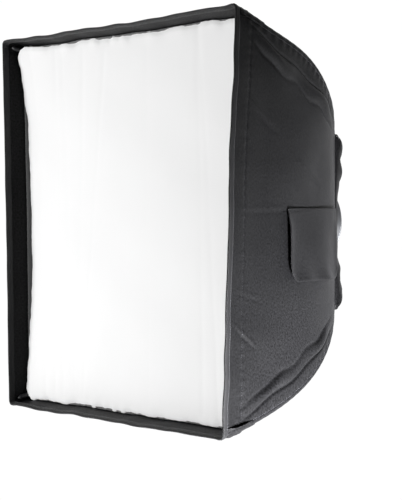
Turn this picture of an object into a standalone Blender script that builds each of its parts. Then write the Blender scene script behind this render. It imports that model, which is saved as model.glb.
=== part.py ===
"""Studio softbox: a square fabric light box on four flexed rods and a rotating speed ring.

Metres, +Z up. The light shines towards -Y and the lamp head sits behind, at +Y. The origin is the
centre of the rear face of the bayonet insert, which locks into the lamp head.

The four fabric sides are bent one way only, each along the bow of the rods at its two corners. So
every piece of cloth is a slab that follows one profile: the half width of the box against Y.
"""
import math

import bmesh
import bpy
import numpy as np
from mathutils import Matrix, Vector

# --- overall sizes ------------------------------------------
FRONT_SIZE = 0.700            # width and height across the front hem
DEPTH = 0.465                 # rod sockets to the front hem, along the axis
GAP = 0.0003                  # clearance between pieces that touch
FIT = 0.0003                  # radial clearance of a shaft in its hole

# --- speed ring and bayonet insert ------------------------------------------
INSERT_BORE_R = 0.0415        # light passes through here
COLLAR_R = 0.0488             # collar that enters the lamp's socket
LUG_R = 0.0515                # over the three bayonet lugs
LUG_THICK = 0.0035
LUG_COUNT = 3
LUG_ARC = math.radians(40)
FLANGE_R = 0.0620             # flange that turns inside the speed ring
FLANGE_THICK = 0.0080
COLLAR_REACH = 0.0103         # flange's rear face to the insert's rear face
FLANGE_PLAY = 0.0003          # axial play on each side of the flange
RING_WALL = 0.0132            # ring's wall outside the flange's seat
RING_THICK = 0.0280
SEAT_LEDGE = 0.0063           # ledge in the ring that the flange bears on
RETAINER_GRIP = 0.0055        # how far the retaining ring laps over the flange
RETAINER_INSET = 0.0010       # its rim inside the speed ring's
RETAINER_THICK = 0.0025
RETAINER_SCREWS = 4
SCREW_SHANK_R = 0.0015
SCREW_SHANK_LENGTH = 0.0085
SCREW_HEAD_R = 0.0028
SCREW_HEAD_THICK = 0.0018
SCREW_HEAD_RIM = 0.0010       # straight part of the head's side, below its chamfer
SCREW_HEAD_TOP_R = 0.0020
FIRST_SCREW_ANGLE = math.radians(22.5)

# --- lock knob, below the ring ------------------------------------------
LOCK_SCREW_R = 0.0025
LOCK_SCREW_TIP_GAP = 0.0004
KNOB_R = 0.0085
KNOB_LENGTH = 0.0145
KNOB_CHAMFER = 0.0013
KNOB_NECK_R = 0.0068          # knob's end that faces the ring
KNOB_STANDOFF = 0.0030        # knob's inner face to the ring's rim
KNOB_FLUTES = 8
KNOB_FLUTE_R = 0.0018
KNOB_FLUTE_START = 0.0044     # flutes run from here out, past the knob's end
KNOB_WALL = 0.0030            # solid end of the knob past the screw

# --- rods ------------------------------------------
ROD_R = 0.00225
ROD_INSET = 0.010             # rod's centre to each fabric face that meets at the corner
SOCKET_DEPTH = 0.0090         # bottom of the rod socket, in from the ring's rim
SOCKET_SETBACK = 0.0150       # socket's plane in front of the ring's rear face
SOCKET_LENGTH = 0.0180        # straight bore of the socket
SOCKET_BOSS_R = 0.0075
BOSS_SINK = 0.0060            # how far the boss starts inside the ring's wall
FERRULE_R = 0.0036
FERRULE_LENGTH = 0.0280
ROD_REAR_ANGLE = math.radians(67)     # rod from the axis where it leaves its socket
ROD_FRONT_ANGLE = math.radians(19)    # and at the front hem
ROD_REAR_PULL = 0.43          # handles of the bow, as shares of its chord
ROD_FRONT_PULL = 0.39
TIP_R = 0.0034
TIP_LENGTH = 0.0140
TIP_SETBACK = 0.0140          # tip's end behind the front hem
TIP_DOME = [(0, 0.85), (0.15, 1), (0.6, 1), (0.8, 0.9), (0.92, 0.65), (1, 0.3)]   # shares: length, radius

# --- fabric shell ------------------------------------------
SHELL_THICK = 0.0016
BINDING_DEPTH = 0.0040
BINDING_THICK = 0.0030
COLLAR_OPEN_HALF = 0.160      # half width where the sewn shell ends and the collar flaps start
COLLAR_FLAP_CLEAR = 0.0075    # collar flap's inner edge to the ring's rim
COLLAR_NOTCH_CLEAR = 0.0060   # room round the knob in the bottom flap
LINING_THICK = 0.0008
POCKET_R = 0.0056
POCKET_BORE_R = 0.0040
POCKET_LENGTH = 0.0500
POCKET_WALL = 0.0015

# --- diffusers ------------------------------------------
RECESS = 0.037                # front hem to the front diffuser
CLOTH_THICK = 0.0012
TAPE_WIDTH = 0.025
TAPE_THICK = 0.0010
CORNER_CLEAR = 0.0015         # diffuser's clipped corner to the rod pocket
BAFFLE_SETBACK = 0.210        # front hem to the inner baffle
BAFFLE_HALF = 0.210
BAFFLE_CLIP = 0.016           # leg of the baffle's clipped corner
STRAP_WIDTH = 0.016
SLEEVE_R = 0.0040
SLEEVE_LENGTH = 0.0140

# --- side vents and their flaps ------------------------------------------
VENT_PLACE = 0.5806           # vent's middle behind the front hem, as a share of the depth
VENT_LENGTH = 0.110
VENT_TOP_Z = 0.005
VENT_BOTTOM_Z = -0.075
MESH_THICK = 0.0021           # mesh with its sewn frame, through the shell and the lining
FLAP_MARGIN_FRONT = 0.040     # how far the flap passes the vent at each end
FLAP_MARGIN_REAR = 0.039
FLAP_MARGIN_TOP = 0.020
FLAP_MARGIN_BOTTOM = 0.026
FLAP_CORNER_R = 0.030
FLAP_THICK = 0.0018
FLAP_LIFT = 0.0012            # flap's inner face off the shell

# --- places that follow ------------------------------------------
RING_REAR_Y = -COLLAR_REACH + FLANGE_PLAY
RING_FRONT_Y = RING_REAR_Y - RING_THICK
FLANGE_FRONT_Y = -COLLAR_REACH - FLANGE_THICK
SEAT_FLOOR_Y = FLANGE_FRONT_Y - FLANGE_PLAY
SEAT_R = FLANGE_R + FIT
RING_R = SEAT_R + RING_WALL
RING_BORE_R = SEAT_R - SEAT_LEDGE
RETAINER_BORE_R = FLANGE_R - RETAINER_GRIP
RETAINER_R = RING_R - RETAINER_INSET
SOCKET_RHO = RING_R - SOCKET_DEPTH      # along the diagonal, from the axis
SCREW_CIRCLE_R = (SEAT_R + RETAINER_R) / 2
LOCK_Y = (RING_REAR_Y + SEAT_FLOOR_Y) / 2
SOCKET_Y = RING_REAR_Y - SOCKET_SETBACK
FRONT_Y = SOCKET_Y - DEPTH
DIFFUSER_Y = FRONT_Y + RECESS
BAFFLE_Y = FRONT_Y + BAFFLE_SETBACK
FRONT_HALF = FRONT_SIZE / 2
DIAGONAL = math.sqrt(2)
ROUND = 48                    # segments round a large turned piece
SIDES = ("top", "right", "bottom", "left")
CORNERS = {"top_right": (1, 1), "bottom_right": (1, -1), "bottom_left": (-1, -1), "top_left": (-1, 1)}


# --- the rod's bow, in the plane of a diagonal ------------------------------------------
def bow(samples=400):
    """Points (distance from the axis, Y) from the socket's bottom to the hem, and arc lengths.

    A straight run out of the socket, then a cubic whose end tangents are the two rod angles.
    """
    rear = np.array([math.sin(ROD_REAR_ANGLE), -math.cos(ROD_REAR_ANGLE)])
    front = np.array([math.sin(ROD_FRONT_ANGLE), -math.cos(ROD_FRONT_ANGLE)])
    socket = np.array([SOCKET_RHO, SOCKET_Y])
    start = socket + rear * SOCKET_LENGTH
    end = np.array([(FRONT_HALF - ROD_INSET) * DIAGONAL, FRONT_Y])
    chord = np.linalg.norm(end - start)
    handles = start + rear * chord * ROD_REAR_PULL, end - front * chord * ROD_FRONT_PULL
    t = np.linspace(0, 1, samples)[:, None]
    curve = ((1 - t) ** 3 * start + 3 * (1 - t) ** 2 * t * handles[0]
             + 3 * (1 - t) * t ** 2 * handles[1] + t ** 3 * end)
    points = np.vstack([socket, curve])
    steps = np.linalg.norm(np.diff(points, axis=0), axis=1)
    return points, np.concatenate([[0], np.cumsum(steps)])


BOW, BOW_ARC = bow()
HALF_TABLE = BOW[::-1, 0] / DIAGONAL + ROD_INSET      # half width of the box, front to rear
Y_TABLE = BOW[::-1, 1]
SLOPE_TABLE = np.gradient(HALF_TABLE, Y_TABLE)


def half_width(y):
    """Half the width of the box over its fabric at Y."""
    return np.interp(y, Y_TABLE, HALF_TABLE)


def y_at_half(half):
    """Y at which the box has this half width."""
    return float(np.interp(half, BOW[:, 0] / DIAGONAL + ROD_INSET, BOW[:, 1]))


def outward(y):
    """The fabric's outward normal at Y, as its share along the half width and along Y."""
    slope = np.interp(y, Y_TABLE, SLOPE_TABLE)
    length = np.sqrt(1 + slope ** 2)
    return 1 / length, -slope / length


def arc_at_y(y):
    """Arc length along the rod's route at which it crosses Y."""
    return float(np.interp(-y, -BOW[:, 1], BOW_ARC))


def route(arc, corner):
    """Point and unit tangent of a rod's centre line at an arc length, in a corner's diagonal plane."""
    step = 1e-4
    on = min(max(arc, step), BOW_ARC[-1] - step)
    near, middle, far = ([np.interp(a, BOW_ARC, BOW[:, k]) for k in (0, 1)]
                         for a in (on - step, on, on + step))
    span = math.dist(near, far)
    d_rho, d_y = (far[0] - near[0]) / span, (far[1] - near[1]) / span
    rho, y = middle[0] + (arc - on) * d_rho, middle[1] + (arc - on) * d_y    # straight on past an end
    out = Vector((corner[0], 0, corner[1])) / DIAGONAL
    return out * rho + Vector((0, y, 0)), out * d_rho + Vector((0, d_y, 0))


# --- objects and materials ------------------------------------------
def material(name, colour, roughness, metallic=0.0):
    """A Principled material of one colour."""
    made = bpy.data.materials.get(name) or bpy.data.materials.new(name)
    made.use_nodes = True
    shader = made.node_tree.nodes["Principled BSDF"]
    shader.inputs["Base Color"].default_value = (*colour, 1)
    shader.inputs["Roughness"].default_value = roughness
    shader.inputs["Metallic"].default_value = metallic
    return made


def pivot(name, at=(0, 0, 0)):
    """An empty on a joint's axis."""
    empty = bpy.data.objects.new(name, None)
    empty.location = at
    bpy.context.collection.objects.link(empty)
    return empty


def add(name, bm, finish, parent):
    """Make an object of a mesh given in world space, held by an empty on its joint's axis."""
    bmesh.ops.recalc_face_normals(bm, faces=bm.faces)
    if parent:
        bmesh.ops.translate(bm, verts=bm.verts, vec=-parent.location)
    mesh = bpy.data.meshes.new(name)
    bm.to_mesh(mesh)
    bm.free()
    mesh.shade_smooth()
    mesh.set_sharp_from_angle(angle=math.radians(35))
    mesh.materials.append(finish)
    obj = bpy.data.objects.new(name, mesh)
    obj.parent = parent
    bpy.context.collection.objects.link(obj)
    return obj


def helper(name, bm):
    """A shape that only cuts or joins another."""
    obj = add(name, bm, material("helper", (1, 0, 0), 0.5), None)
    obj.hide_render = True
    obj.display_type = "WIRE"
    return obj


def boolean(obj, other, operation):
    """Cut a helper from an object, or join it on."""
    change = obj.modifiers.new(other.name, "BOOLEAN")
    change.operation = operation
    change.object = other
    change.solver = "EXACT"


# --- mesh makers ------------------------------------------
def turned(profile, segments=ROUND, closed=True, bm=None, place=Matrix.Identity(4)):
    """Turn (radius, Y) points about the Y axis; an open profile starts and ends on the axis."""
    bm = bm or bmesh.new()
    verts = [bm.verts.new(place @ Vector((r, y, 0))) for r, y in profile]
    edges = [bm.edges.new(pair) for pair in zip(verts, verts[1:])]
    if closed:
        edges.append(bm.edges.new((verts[-1], verts[0])))
    centre = place.to_translation()
    axis = place.to_3x3() @ Vector((0, 1, 0))
    bmesh.ops.spin(bm, geom=verts + edges, cent=centre, axis=axis, angle=math.tau,
                   steps=segments, use_merge=True)
    bmesh.ops.remove_doubles(bm, verts=bm.verts, dist=1e-6)
    return bm


def along_y_to(direction, at):
    """A transform that lays the Y axis along a direction and starts it at a point."""
    turn = Vector((0, 1, 0)).rotation_difference(Vector(direction)).to_matrix().to_4x4()
    return Matrix.Translation(at) @ turn


def rod_of(radius, start, end, segments=16):
    """Profile of a plain round bar along Y."""
    return [(0, start), (radius, start), (radius, end), (0, end)]


def route_solid(corner, arcs, radii, closed=False, segments=10, bm=None):
    """Rings along a rod's route, joined in order; closed joins the last to the first, as a sleeve."""
    bm = bm or bmesh.new()
    across = Vector((corner[0], 0, corner[1])).cross(Vector((0, 1, 0))).normalized()
    rings = []
    for arc, radius in zip(arcs, radii):
        centre, tangent = route(arc, corner)
        up = tangent.cross(across)
        angles = [math.tau * i / segments for i in range(segments)]
        rings.append([bm.verts.new(centre + (across * math.cos(a) + up * math.sin(a)) * radius)
                      for a in angles])
    pairs = list(zip(rings, rings[1:])) + ([(rings[-1], rings[0])] if closed else [])
    for near, far in pairs:
        for i in range(segments):
            j = (i + 1) % segments
            bm.faces.new((near[i], near[j], far[j], far[i]))
    if not closed:
        bm.faces.new(rings[0])
        bm.faces.new(rings[-1])
    return bm


def on_side(side, across, half, y):
    """World point of a panel's own coordinates: across its width, out from the axis, and Y."""
    turn = SIDES.index(side) * math.pi / 2
    cos, sin = round(math.cos(turn)), round(math.sin(turn))
    return Vector((across * cos + half * sin, y, half * cos - across * sin))


def slab(side, faces, bm=None):
    """A solid between an outer and an inner face, each a list of (half width, Y, low, high)."""
    bm = bm or bmesh.new()
    grid = [[[bm.verts.new(on_side(side, across, half, y)) for across in (low, high)]
             for half, y, low, high in face] for face in faces]
    outer, inner = grid
    for i in range(len(outer) - 1):
        bm.faces.new((outer[i][0], outer[i][1], outer[i + 1][1], outer[i + 1][0]))
        bm.faces.new((inner[i][0], inner[i + 1][0], inner[i + 1][1], inner[i][1]))
        for k in (0, 1):
            bm.faces.new((outer[i][k], outer[i + 1][k], inner[i + 1][k], inner[i][k]))
    for i in (0, -1):
        bm.faces.new((outer[i][0], outer[i][1], inner[i][1], inner[i][0]))
    return bm


def cloth(side, stations, depth, thick, limits):
    """A slab that follows the box's profile, its outer face sunk by depth under the shell's.

    limits(station number, half width) gives how far it reaches across, low and high.
    """
    faces = []
    for sink in (depth, depth + thick):
        face = []
        for i, y in enumerate(stations):
            out_half, out_y = outward(y)
            half = half_width(y) - out_half * sink
            face.append((half, y - out_y * sink, *limits(i, half)))
        faces.append(face)
    return slab(side, faces)


def mitred(_station, half):
    """Limits of a panel that meets its neighbours on the diagonals."""
    return -half + GAP, half - GAP


def within(reach):
    """Limits of a strip with square ends."""
    return lambda _station, _half: (-reach, reach)


def plate(half, clip, front, thick):
    """A square sheet across the axis with clipped corners, its front face at Y."""
    bm = bmesh.new()
    corner = [(half, half - clip), (half - clip, half)]
    outline = []
    for quarter in range(4):
        turn = Matrix.Rotation(quarter * math.pi / 2, 3, "Y")
        outline += [turn @ Vector((x, front, z)) for x, z in corner]
    ordered = sorted(outline, key=lambda p: math.atan2(p.z, p.x))
    face = bm.faces.new([bm.verts.new(p) for p in ordered])
    grown = bmesh.ops.extrude_face_region(bm, geom=[face])["geom"]
    moved = [v for v in grown if isinstance(v, bmesh.types.BMVert)]
    bmesh.ops.translate(bm, verts=moved, vec=(0, thick, 0))
    return bm


def block(low, high):
    """A box between two corners."""
    bm = bmesh.new()
    size = Vector(high) - Vector(low)
    place = Matrix.Translation((Vector(low) + Vector(high)) / 2) @ Matrix.Diagonal((*size, 1))
    bmesh.ops.create_cube(bm, size=1, matrix=place)
    return bm


# --- speed ring, insert and retainer ------------------------------------------
def build_speed_ring(hub, metal):
    """Stepped ring with four angled rod sockets, screw holes and the lock screw's hole."""
    ring = add("speed_ring", turned([
        (RING_BORE_R, RING_FRONT_Y), (RING_R, RING_FRONT_Y), (RING_R, RING_REAR_Y),
        (SEAT_R, RING_REAR_Y), (SEAT_R, SEAT_FLOOR_Y), (RING_BORE_R, SEAT_FLOOR_Y)]), metal, hub)
    bosses = bmesh.new()
    holes = bmesh.new()
    for corner in CORNERS.values():
        route_solid(corner, (-BOSS_SINK, SOCKET_LENGTH), (SOCKET_BOSS_R,) * 2, segments=20, bm=bosses)
        route_solid(corner, (0, SOCKET_LENGTH * 2), (FERRULE_R + FIT,) * 2, segments=16, bm=holes)
    for place in screw_places():
        turned(rod_of(SCREW_SHANK_R + FIT, -SCREW_SHANK_LENGTH - GAP, RING_THICK), 12, False,
               holes, place)
    turned(rod_of(LOCK_SCREW_R + FIT, RING_BORE_R, RING_R * 2), 16, False, holes, lock_place())
    boolean(ring, helper("socket_bosses", bosses), "UNION")
    boolean(ring, helper("ring_holes", holes), "DIFFERENCE")


def screw_places():
    """Transforms of the retainer's screws: Y runs out of the ring's rear face."""
    for i in range(RETAINER_SCREWS):
        angle = FIRST_SCREW_ANGLE + math.tau * i / RETAINER_SCREWS
        yield Matrix.Translation((SCREW_CIRCLE_R * math.cos(angle), RING_REAR_Y,
                                  SCREW_CIRCLE_R * math.sin(angle)))


def lock_place():
    """Transform of the lock screw: Y runs down, away from the ring's axis."""
    return along_y_to((0, 0, -1), (0, LOCK_Y, 0))


def build_insert(mount, metal):
    """Flanged collar with three bayonet lugs, which stays with the lamp."""
    insert = add("mount_insert", turned([
        (INSERT_BORE_R, FLANGE_FRONT_Y), (FLANGE_R, FLANGE_FRONT_Y), (FLANGE_R, -COLLAR_REACH),
        (COLLAR_R, -COLLAR_REACH), (COLLAR_R, 0), (INSERT_BORE_R, 0)]), metal, mount)
    lugs = bmesh.new()
    steps = 8
    root_r = (INSERT_BORE_R + COLLAR_R) / 2
    for lug in range(LUG_COUNT):
        outline = []
        for radius, order in ((LUG_R, range(steps + 1)), (root_r, range(steps, -1, -1))):
            for i in order:
                angle = math.pi / 2 + math.tau * lug / LUG_COUNT + LUG_ARC * (i / steps - 0.5)
                outline.append((radius * math.cos(angle), 0, radius * math.sin(angle)))
        face = lugs.faces.new([lugs.verts.new(p) for p in outline])
        grown = bmesh.ops.extrude_face_region(lugs, geom=[face])["geom"]
        moved = [v for v in grown if isinstance(v, bmesh.types.BMVert)]
        bmesh.ops.translate(lugs, verts=moved, vec=(0, -LUG_THICK, 0))
    boolean(insert, helper("insert_lugs", lugs), "UNION")


def build_retainer(hub, metal, steel):
    """Plate ring that traps the insert's flange, and its screws."""
    front = RING_REAR_Y + GAP
    rear = front + RETAINER_THICK
    plate_ring = add("retaining_ring", turned([
        (RETAINER_BORE_R, front), (RETAINER_R, front), (RETAINER_R, rear), (RETAINER_BORE_R, rear)]),
        metal, hub)
    holes = bmesh.new()
    head = RETAINER_THICK + 2 * GAP
    for i, place in enumerate(screw_places()):
        turned(rod_of(SCREW_SHANK_R + FIT, -RING_THICK, RING_THICK), 12, False, holes, place)
        profile = [(0, -SCREW_SHANK_LENGTH), (SCREW_SHANK_R, -SCREW_SHANK_LENGTH), (SCREW_SHANK_R, head),
                   (SCREW_HEAD_R, head), (SCREW_HEAD_R, head + SCREW_HEAD_RIM),
                   (SCREW_HEAD_TOP_R, head + SCREW_HEAD_THICK), (0, head + SCREW_HEAD_THICK)]
        add(f"retaining_screw_{i + 1}", turned(profile, 12, False, place=place), steel, hub)
    boolean(plate_ring, helper("retainer_holes", holes), "DIFFERENCE")


def build_lock(knob_turn, plastic, steel):
    """Screw through the ring's wall that clamps the insert's flange, and its fluted knob."""
    inner = RING_R + KNOB_STANDOFF
    outer = inner + KNOB_LENGTH
    screw_end = outer - KNOB_WALL
    add("lock_screw", turned(rod_of(LOCK_SCREW_R, FLANGE_R + LOCK_SCREW_TIP_GAP, screw_end), 14,
                             False, place=lock_place()), steel, knob_turn)
    knob = add("lock_knob", turned([
        (0, inner), (KNOB_NECK_R, inner), (KNOB_R, inner + KNOB_CHAMFER),
        (KNOB_R, outer - KNOB_CHAMFER), (KNOB_R - KNOB_CHAMFER, outer), (0, outer)],
        32, False, place=lock_place()), plastic, knob_turn)
    cuts = turned(rod_of(LOCK_SCREW_R + FIT, inner - KNOB_R, screw_end + GAP), 16, False,
                  place=lock_place())
    for i in range(KNOB_FLUTES):
        angle = math.tau * (i + 0.5) / KNOB_FLUTES
        shift = Matrix.Translation((KNOB_R * math.cos(angle), 0, KNOB_R * math.sin(angle)))
        turned(rod_of(KNOB_FLUTE_R, inner + KNOB_FLUTE_START, outer + KNOB_R), 10, False, cuts,
               lock_place() @ shift)
    boolean(knob, helper("knob_cuts", cuts), "DIFFERENCE")


# --- rods, with what is on their ends ------------------------------------------
def spaced(start, end, count):
    """Evenly spaced values, as a list."""
    return [float(v) for v in np.linspace(start, end, count)]


def build_rods(hub, fibre, steel, plastic, webbing):
    """Four bowed rods, each with a ferrule in its socket, a tip, and the sewn pocket for the tip."""
    tip_end = arc_at_y(FRONT_Y + TIP_SETBACK)
    rod_end = tip_end - TIP_LENGTH
    pocket_end = tip_end + GAP + POCKET_WALL
    for where, corner in CORNERS.items():
        arcs = spaced(GAP * 2, rod_end, 26)
        add(f"rod_{where}", route_solid(corner, arcs, [ROD_R] * len(arcs)), fibre, hub)
        ends = (GAP * 2, FERRULE_LENGTH)
        sleeve = (*ends, *ends[::-1])
        bores = (FERRULE_R, FERRULE_R, ROD_R + FIT, ROD_R + FIT)
        add(f"rod_ferrule_{where}", route_solid(corner, sleeve, bores, closed=True, segments=14),
            steel, hub)
        arcs = [rod_end + GAP + share * (TIP_LENGTH - GAP) for share, _ in TIP_DOME]
        radii = [TIP_R * share for _, share in TIP_DOME]
        add(f"rod_tip_{where}", route_solid(corner, arcs, radii, segments=12), plastic, hub)
        inside = spaced(tip_end + GAP, pocket_end - POCKET_LENGTH, 4)
        outside = spaced(pocket_end - POCKET_LENGTH, pocket_end, 4)
        radii = [POCKET_BORE_R] * len(inside) + [POCKET_R] * len(outside)
        add(f"corner_pocket_{where}", route_solid(corner, inside + outside, radii, segments=12),
            webbing, hub)


# --- fabric ------------------------------------------
SHELL_FRONT_Y = FRONT_Y + BINDING_DEPTH + GAP + SHELL_THICK * float(outward(FRONT_Y)[1])
SHELL_REAR_Y = y_at_half(COLLAR_OPEN_HALF)
VENT_FRONT_Y = FRONT_Y + DEPTH * VENT_PLACE - VENT_LENGTH / 2
VENT_REAR_Y = VENT_FRONT_Y + VENT_LENGTH
FLAP_FRONT_Y = VENT_FRONT_Y - FLAP_MARGIN_FRONT
FLAP_REAR_Y = VENT_REAR_Y + FLAP_MARGIN_REAR
FLAP_TOP_Z = VENT_TOP_Z + FLAP_MARGIN_TOP
FLAP_BOTTOM_Z = VENT_BOTTOM_Z - FLAP_MARGIN_BOTTOM
TAPE_REAR_Y = DIFFUSER_Y + CLOTH_THICK + GAP + TAPE_WIDTH


def vent_cutter(name, side):
    """The vent's hole, cut straight out through one side of the box."""
    sign = 1 if side == "right" else -1
    reach = sorted((sign * COLLAR_OPEN_HALF, sign * FRONT_HALF))
    return helper(name, block((reach[0], VENT_FRONT_Y, VENT_BOTTOM_Z), (reach[1], VENT_REAR_Y, VENT_TOP_Z)))


def build_shell(hub, fabric, silver, binding):
    """Four fabric panels, the silver lining inside each, and the binding round the front hem."""
    for side in SIDES:
        stations = spaced(SHELL_FRONT_Y, SHELL_REAR_Y, 19)
        panel = add(f"shell_{side}", cloth(side, stations, 0, SHELL_THICK, mitred), fabric, hub)
        stations = spaced(TAPE_REAR_Y + GAP + SHELL_THICK, SHELL_REAR_Y, 17)
        lining = add(f"lining_{side}",
                     cloth(side, stations, SHELL_THICK + GAP, LINING_THICK, mitred), silver, hub)
        if side in ("right", "left"):
            cutter = vent_cutter(f"vent_cut_{side}", side)
            boolean(panel, cutter, "DIFFERENCE")
            boolean(lining, cutter, "DIFFERENCE")
        rear_y = FRONT_Y + BINDING_DEPTH
        faces = []
        for sink in (0, BINDING_THICK):
            ends = [(float(half_width(y)) - sink, y) for y in (FRONT_Y, rear_y)]
            faces.append([(half, y, *mitred(0, half)) for half, y in ends])
        add(f"hem_binding_{side}", slab(side, faces), binding, hub)


def diffuser_half():
    """Half the front diffuser's size: inside the shell and both tapes."""
    stack = SHELL_THICK + 2 * TAPE_THICK + 3 * GAP
    return float(half_width(DIFFUSER_Y)) - stack / float(outward(DIFFUSER_Y)[0]) - GAP


def diffuser_clip():
    """Leg of the front diffuser's clipped corner, which leaves room for the rod's pocket."""
    rod = 2 * (float(half_width(DIFFUSER_Y)) - ROD_INSET)
    return 2 * diffuser_half() - rod + DIAGONAL * (POCKET_R + CORNER_CLEAR)


def build_diffusers(hub, slide, white, tape, webbing):
    """Front diffuser with its hook tapes, the loop tapes that hold it, and the inner baffle."""
    half, clip = diffuser_half(), diffuser_clip()
    add("front_diffuser", plate(half, clip, DIFFUSER_Y, CLOTH_THICK), white, slide)
    stations = spaced(DIFFUSER_Y + CLOTH_THICK + GAP + SHELL_THICK, TAPE_REAR_Y, 3)
    for side in SIDES:
        reach = within(half - clip)
        loop_depth = SHELL_THICK + GAP
        hook_depth = loop_depth + TAPE_THICK + GAP
        add(f"loop_tape_{side}", cloth(side, stations, loop_depth, TAPE_THICK, reach), tape, hub)
        add(f"hook_tape_{side}", cloth(side, stations, hook_depth, TAPE_THICK, reach), tape, slide)
    add("inner_baffle", plate(BAFFLE_HALF, BAFFLE_CLIP, BAFFLE_Y, CLOTH_THICK), white, hub)
    arc = arc_at_y(BAFFLE_Y + CLOTH_THICK / 2)
    for where, corner in CORNERS.items():
        centre, _ = route(arc, corner)
        out = Vector((corner[0], 0, corner[1])) / DIAGONAL
        start = BAFFLE_HALF * DIAGONAL - BAFFLE_CLIP / DIAGONAL + GAP
        length = centre.dot(out) - SLEEVE_R / 2 - start
        strap = block((-STRAP_WIDTH / 2, 0, -CLOTH_THICK / 2), (STRAP_WIDTH / 2, length, CLOTH_THICK / 2))
        lay = Matrix((Vector((0, 1, 0)).cross(out), out, (0, 1, 0))).transposed().to_4x4()
        base = out * start + Vector((0, BAFFLE_Y + CLOTH_THICK / 2, 0))
        bmesh.ops.transform(strap, verts=strap.verts, matrix=Matrix.Translation(base) @ lay)
        strap = add(f"baffle_strap_{where}", strap, webbing, hub)
        ends = (arc - SLEEVE_LENGTH / 2, arc + SLEEVE_LENGTH / 2)
        sleeve = route_solid(corner, ends, (SLEEVE_R, SLEEVE_R), segments=14)
        bore = route_solid(corner, (arc - SLEEVE_LENGTH, arc, arc + SLEEVE_LENGTH),
                           (ROD_R + FIT * 2,) * 3, segments=14)
        boolean(strap, helper(f"strap_sleeve_{where}", sleeve), "UNION")
        boolean(strap, helper(f"strap_bore_{where}", bore), "DIFFERENCE")


def collar_hinge(side):
    """Point on a collar flap's hinge: its sewn edge, on the outer face."""
    return on_side(side, 0, COLLAR_OPEN_HALF, SHELL_REAR_Y)


def build_collar(pivots, fabric):
    """Four flaps that close the rear round the speed ring; the bottom one clears the knob."""
    inner_half = RING_R + COLLAR_FLAP_CLEAR
    stations = spaced(SHELL_REAR_Y + GAP * 2, y_at_half(inner_half), 7)
    for side in SIDES:
        flap = add(f"collar_flap_{side}", cloth(side, stations, 0, SHELL_THICK, mitred), fabric,
                   pivots[side])
        if side == "bottom":
            reach = KNOB_R + COLLAR_NOTCH_CLEAR
            depth = RING_R + KNOB_STANDOFF + KNOB_LENGTH + COLLAR_NOTCH_CLEAR
            notch = block((-reach, FRONT_Y, -depth), (reach, 0, 0))
            boolean(flap, helper("knob_notch", notch), "DIFFERENCE")


def flap_hinge(side):
    """Middle and direction of a vent flap's hinge.

    The flap's top edge bows outwards, so the hinge is the line along its chord that touches the
    bow's outermost point: the flap then lifts clear of the shell all the way.
    """
    sign = 1 if side == "right" else -1
    ys = np.linspace(FLAP_FRONT_Y, FLAP_REAR_Y, 60)
    out_half, out_y = outward(ys)
    lift = FLAP_LIFT + FLAP_THICK
    line = np.stack([half_width(ys) + out_half * lift, ys + out_y * lift], axis=1)
    chord = (line[-1] - line[0]) / np.linalg.norm(line[-1] - line[0])
    off = (line - line[0]) @ np.array([chord[1], -chord[0]])
    top = line[int(np.argmax(off))]
    return Vector((sign * top[0], top[1], FLAP_TOP_Z)), Vector((sign * chord[0], chord[1], 0))


def build_vents(hub, pivots, fabric, mesh):
    """Mesh panel in each vent, and the flap that hangs over it."""
    ys = np.array(spaced(FLAP_FRONT_Y, FLAP_REAR_Y, 13))
    arc = np.interp(ys, Y_TABLE, (BOW_ARC[-1] - BOW_ARC)[::-1])
    rounded = [share * FLAP_CORNER_R for share in (0.02, 0.12, 0.3, 0.6)]
    inner_arcs = [a for a in arc if arc[0] + FLAP_CORNER_R <= a <= arc[-1] - FLAP_CORNER_R]
    arcs = sorted([arc[0], *(arc[0] + r for r in rounded), *inner_arcs,
                   *(arc[-1] - r for r in rounded), arc[-1]])
    stations = [float(y) for y in np.interp(arcs, arc, ys)]
    for side in ("right", "left"):
        down = 1 if side == "right" else -1           # the way down along the panel's width

        def flap_limits(i, _half):
            near = min(FLAP_CORNER_R, arcs[i] - arcs[0], arcs[-1] - arcs[i])
            rise = FLAP_CORNER_R - math.sqrt(FLAP_CORNER_R ** 2 - (FLAP_CORNER_R - near) ** 2)
            ends = (-down * FLAP_TOP_Z, -down * (FLAP_BOTTOM_Z + rise))
            return min(ends), max(ends)

        lift = FLAP_LIFT + FLAP_THICK
        add(f"vent_flap_{side}", cloth(side, stations, -lift, FLAP_THICK, flap_limits), fabric,
            pivots[side])
        sink = (SHELL_THICK + GAP + LINING_THICK - MESH_THICK) / 2
        front = VENT_FRONT_Y + GAP + (sink + MESH_THICK) * float(outward(VENT_FRONT_Y)[1])
        ends = sorted((-down * (VENT_TOP_Z - GAP), -down * (VENT_BOTTOM_Z + GAP)))
        add(f"vent_mesh_{side}", cloth(side, spaced(front, VENT_REAR_Y - GAP, 6), sink, MESH_THICK,
                                       lambda _i, _h: tuple(ends)), mesh, hub)


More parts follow.
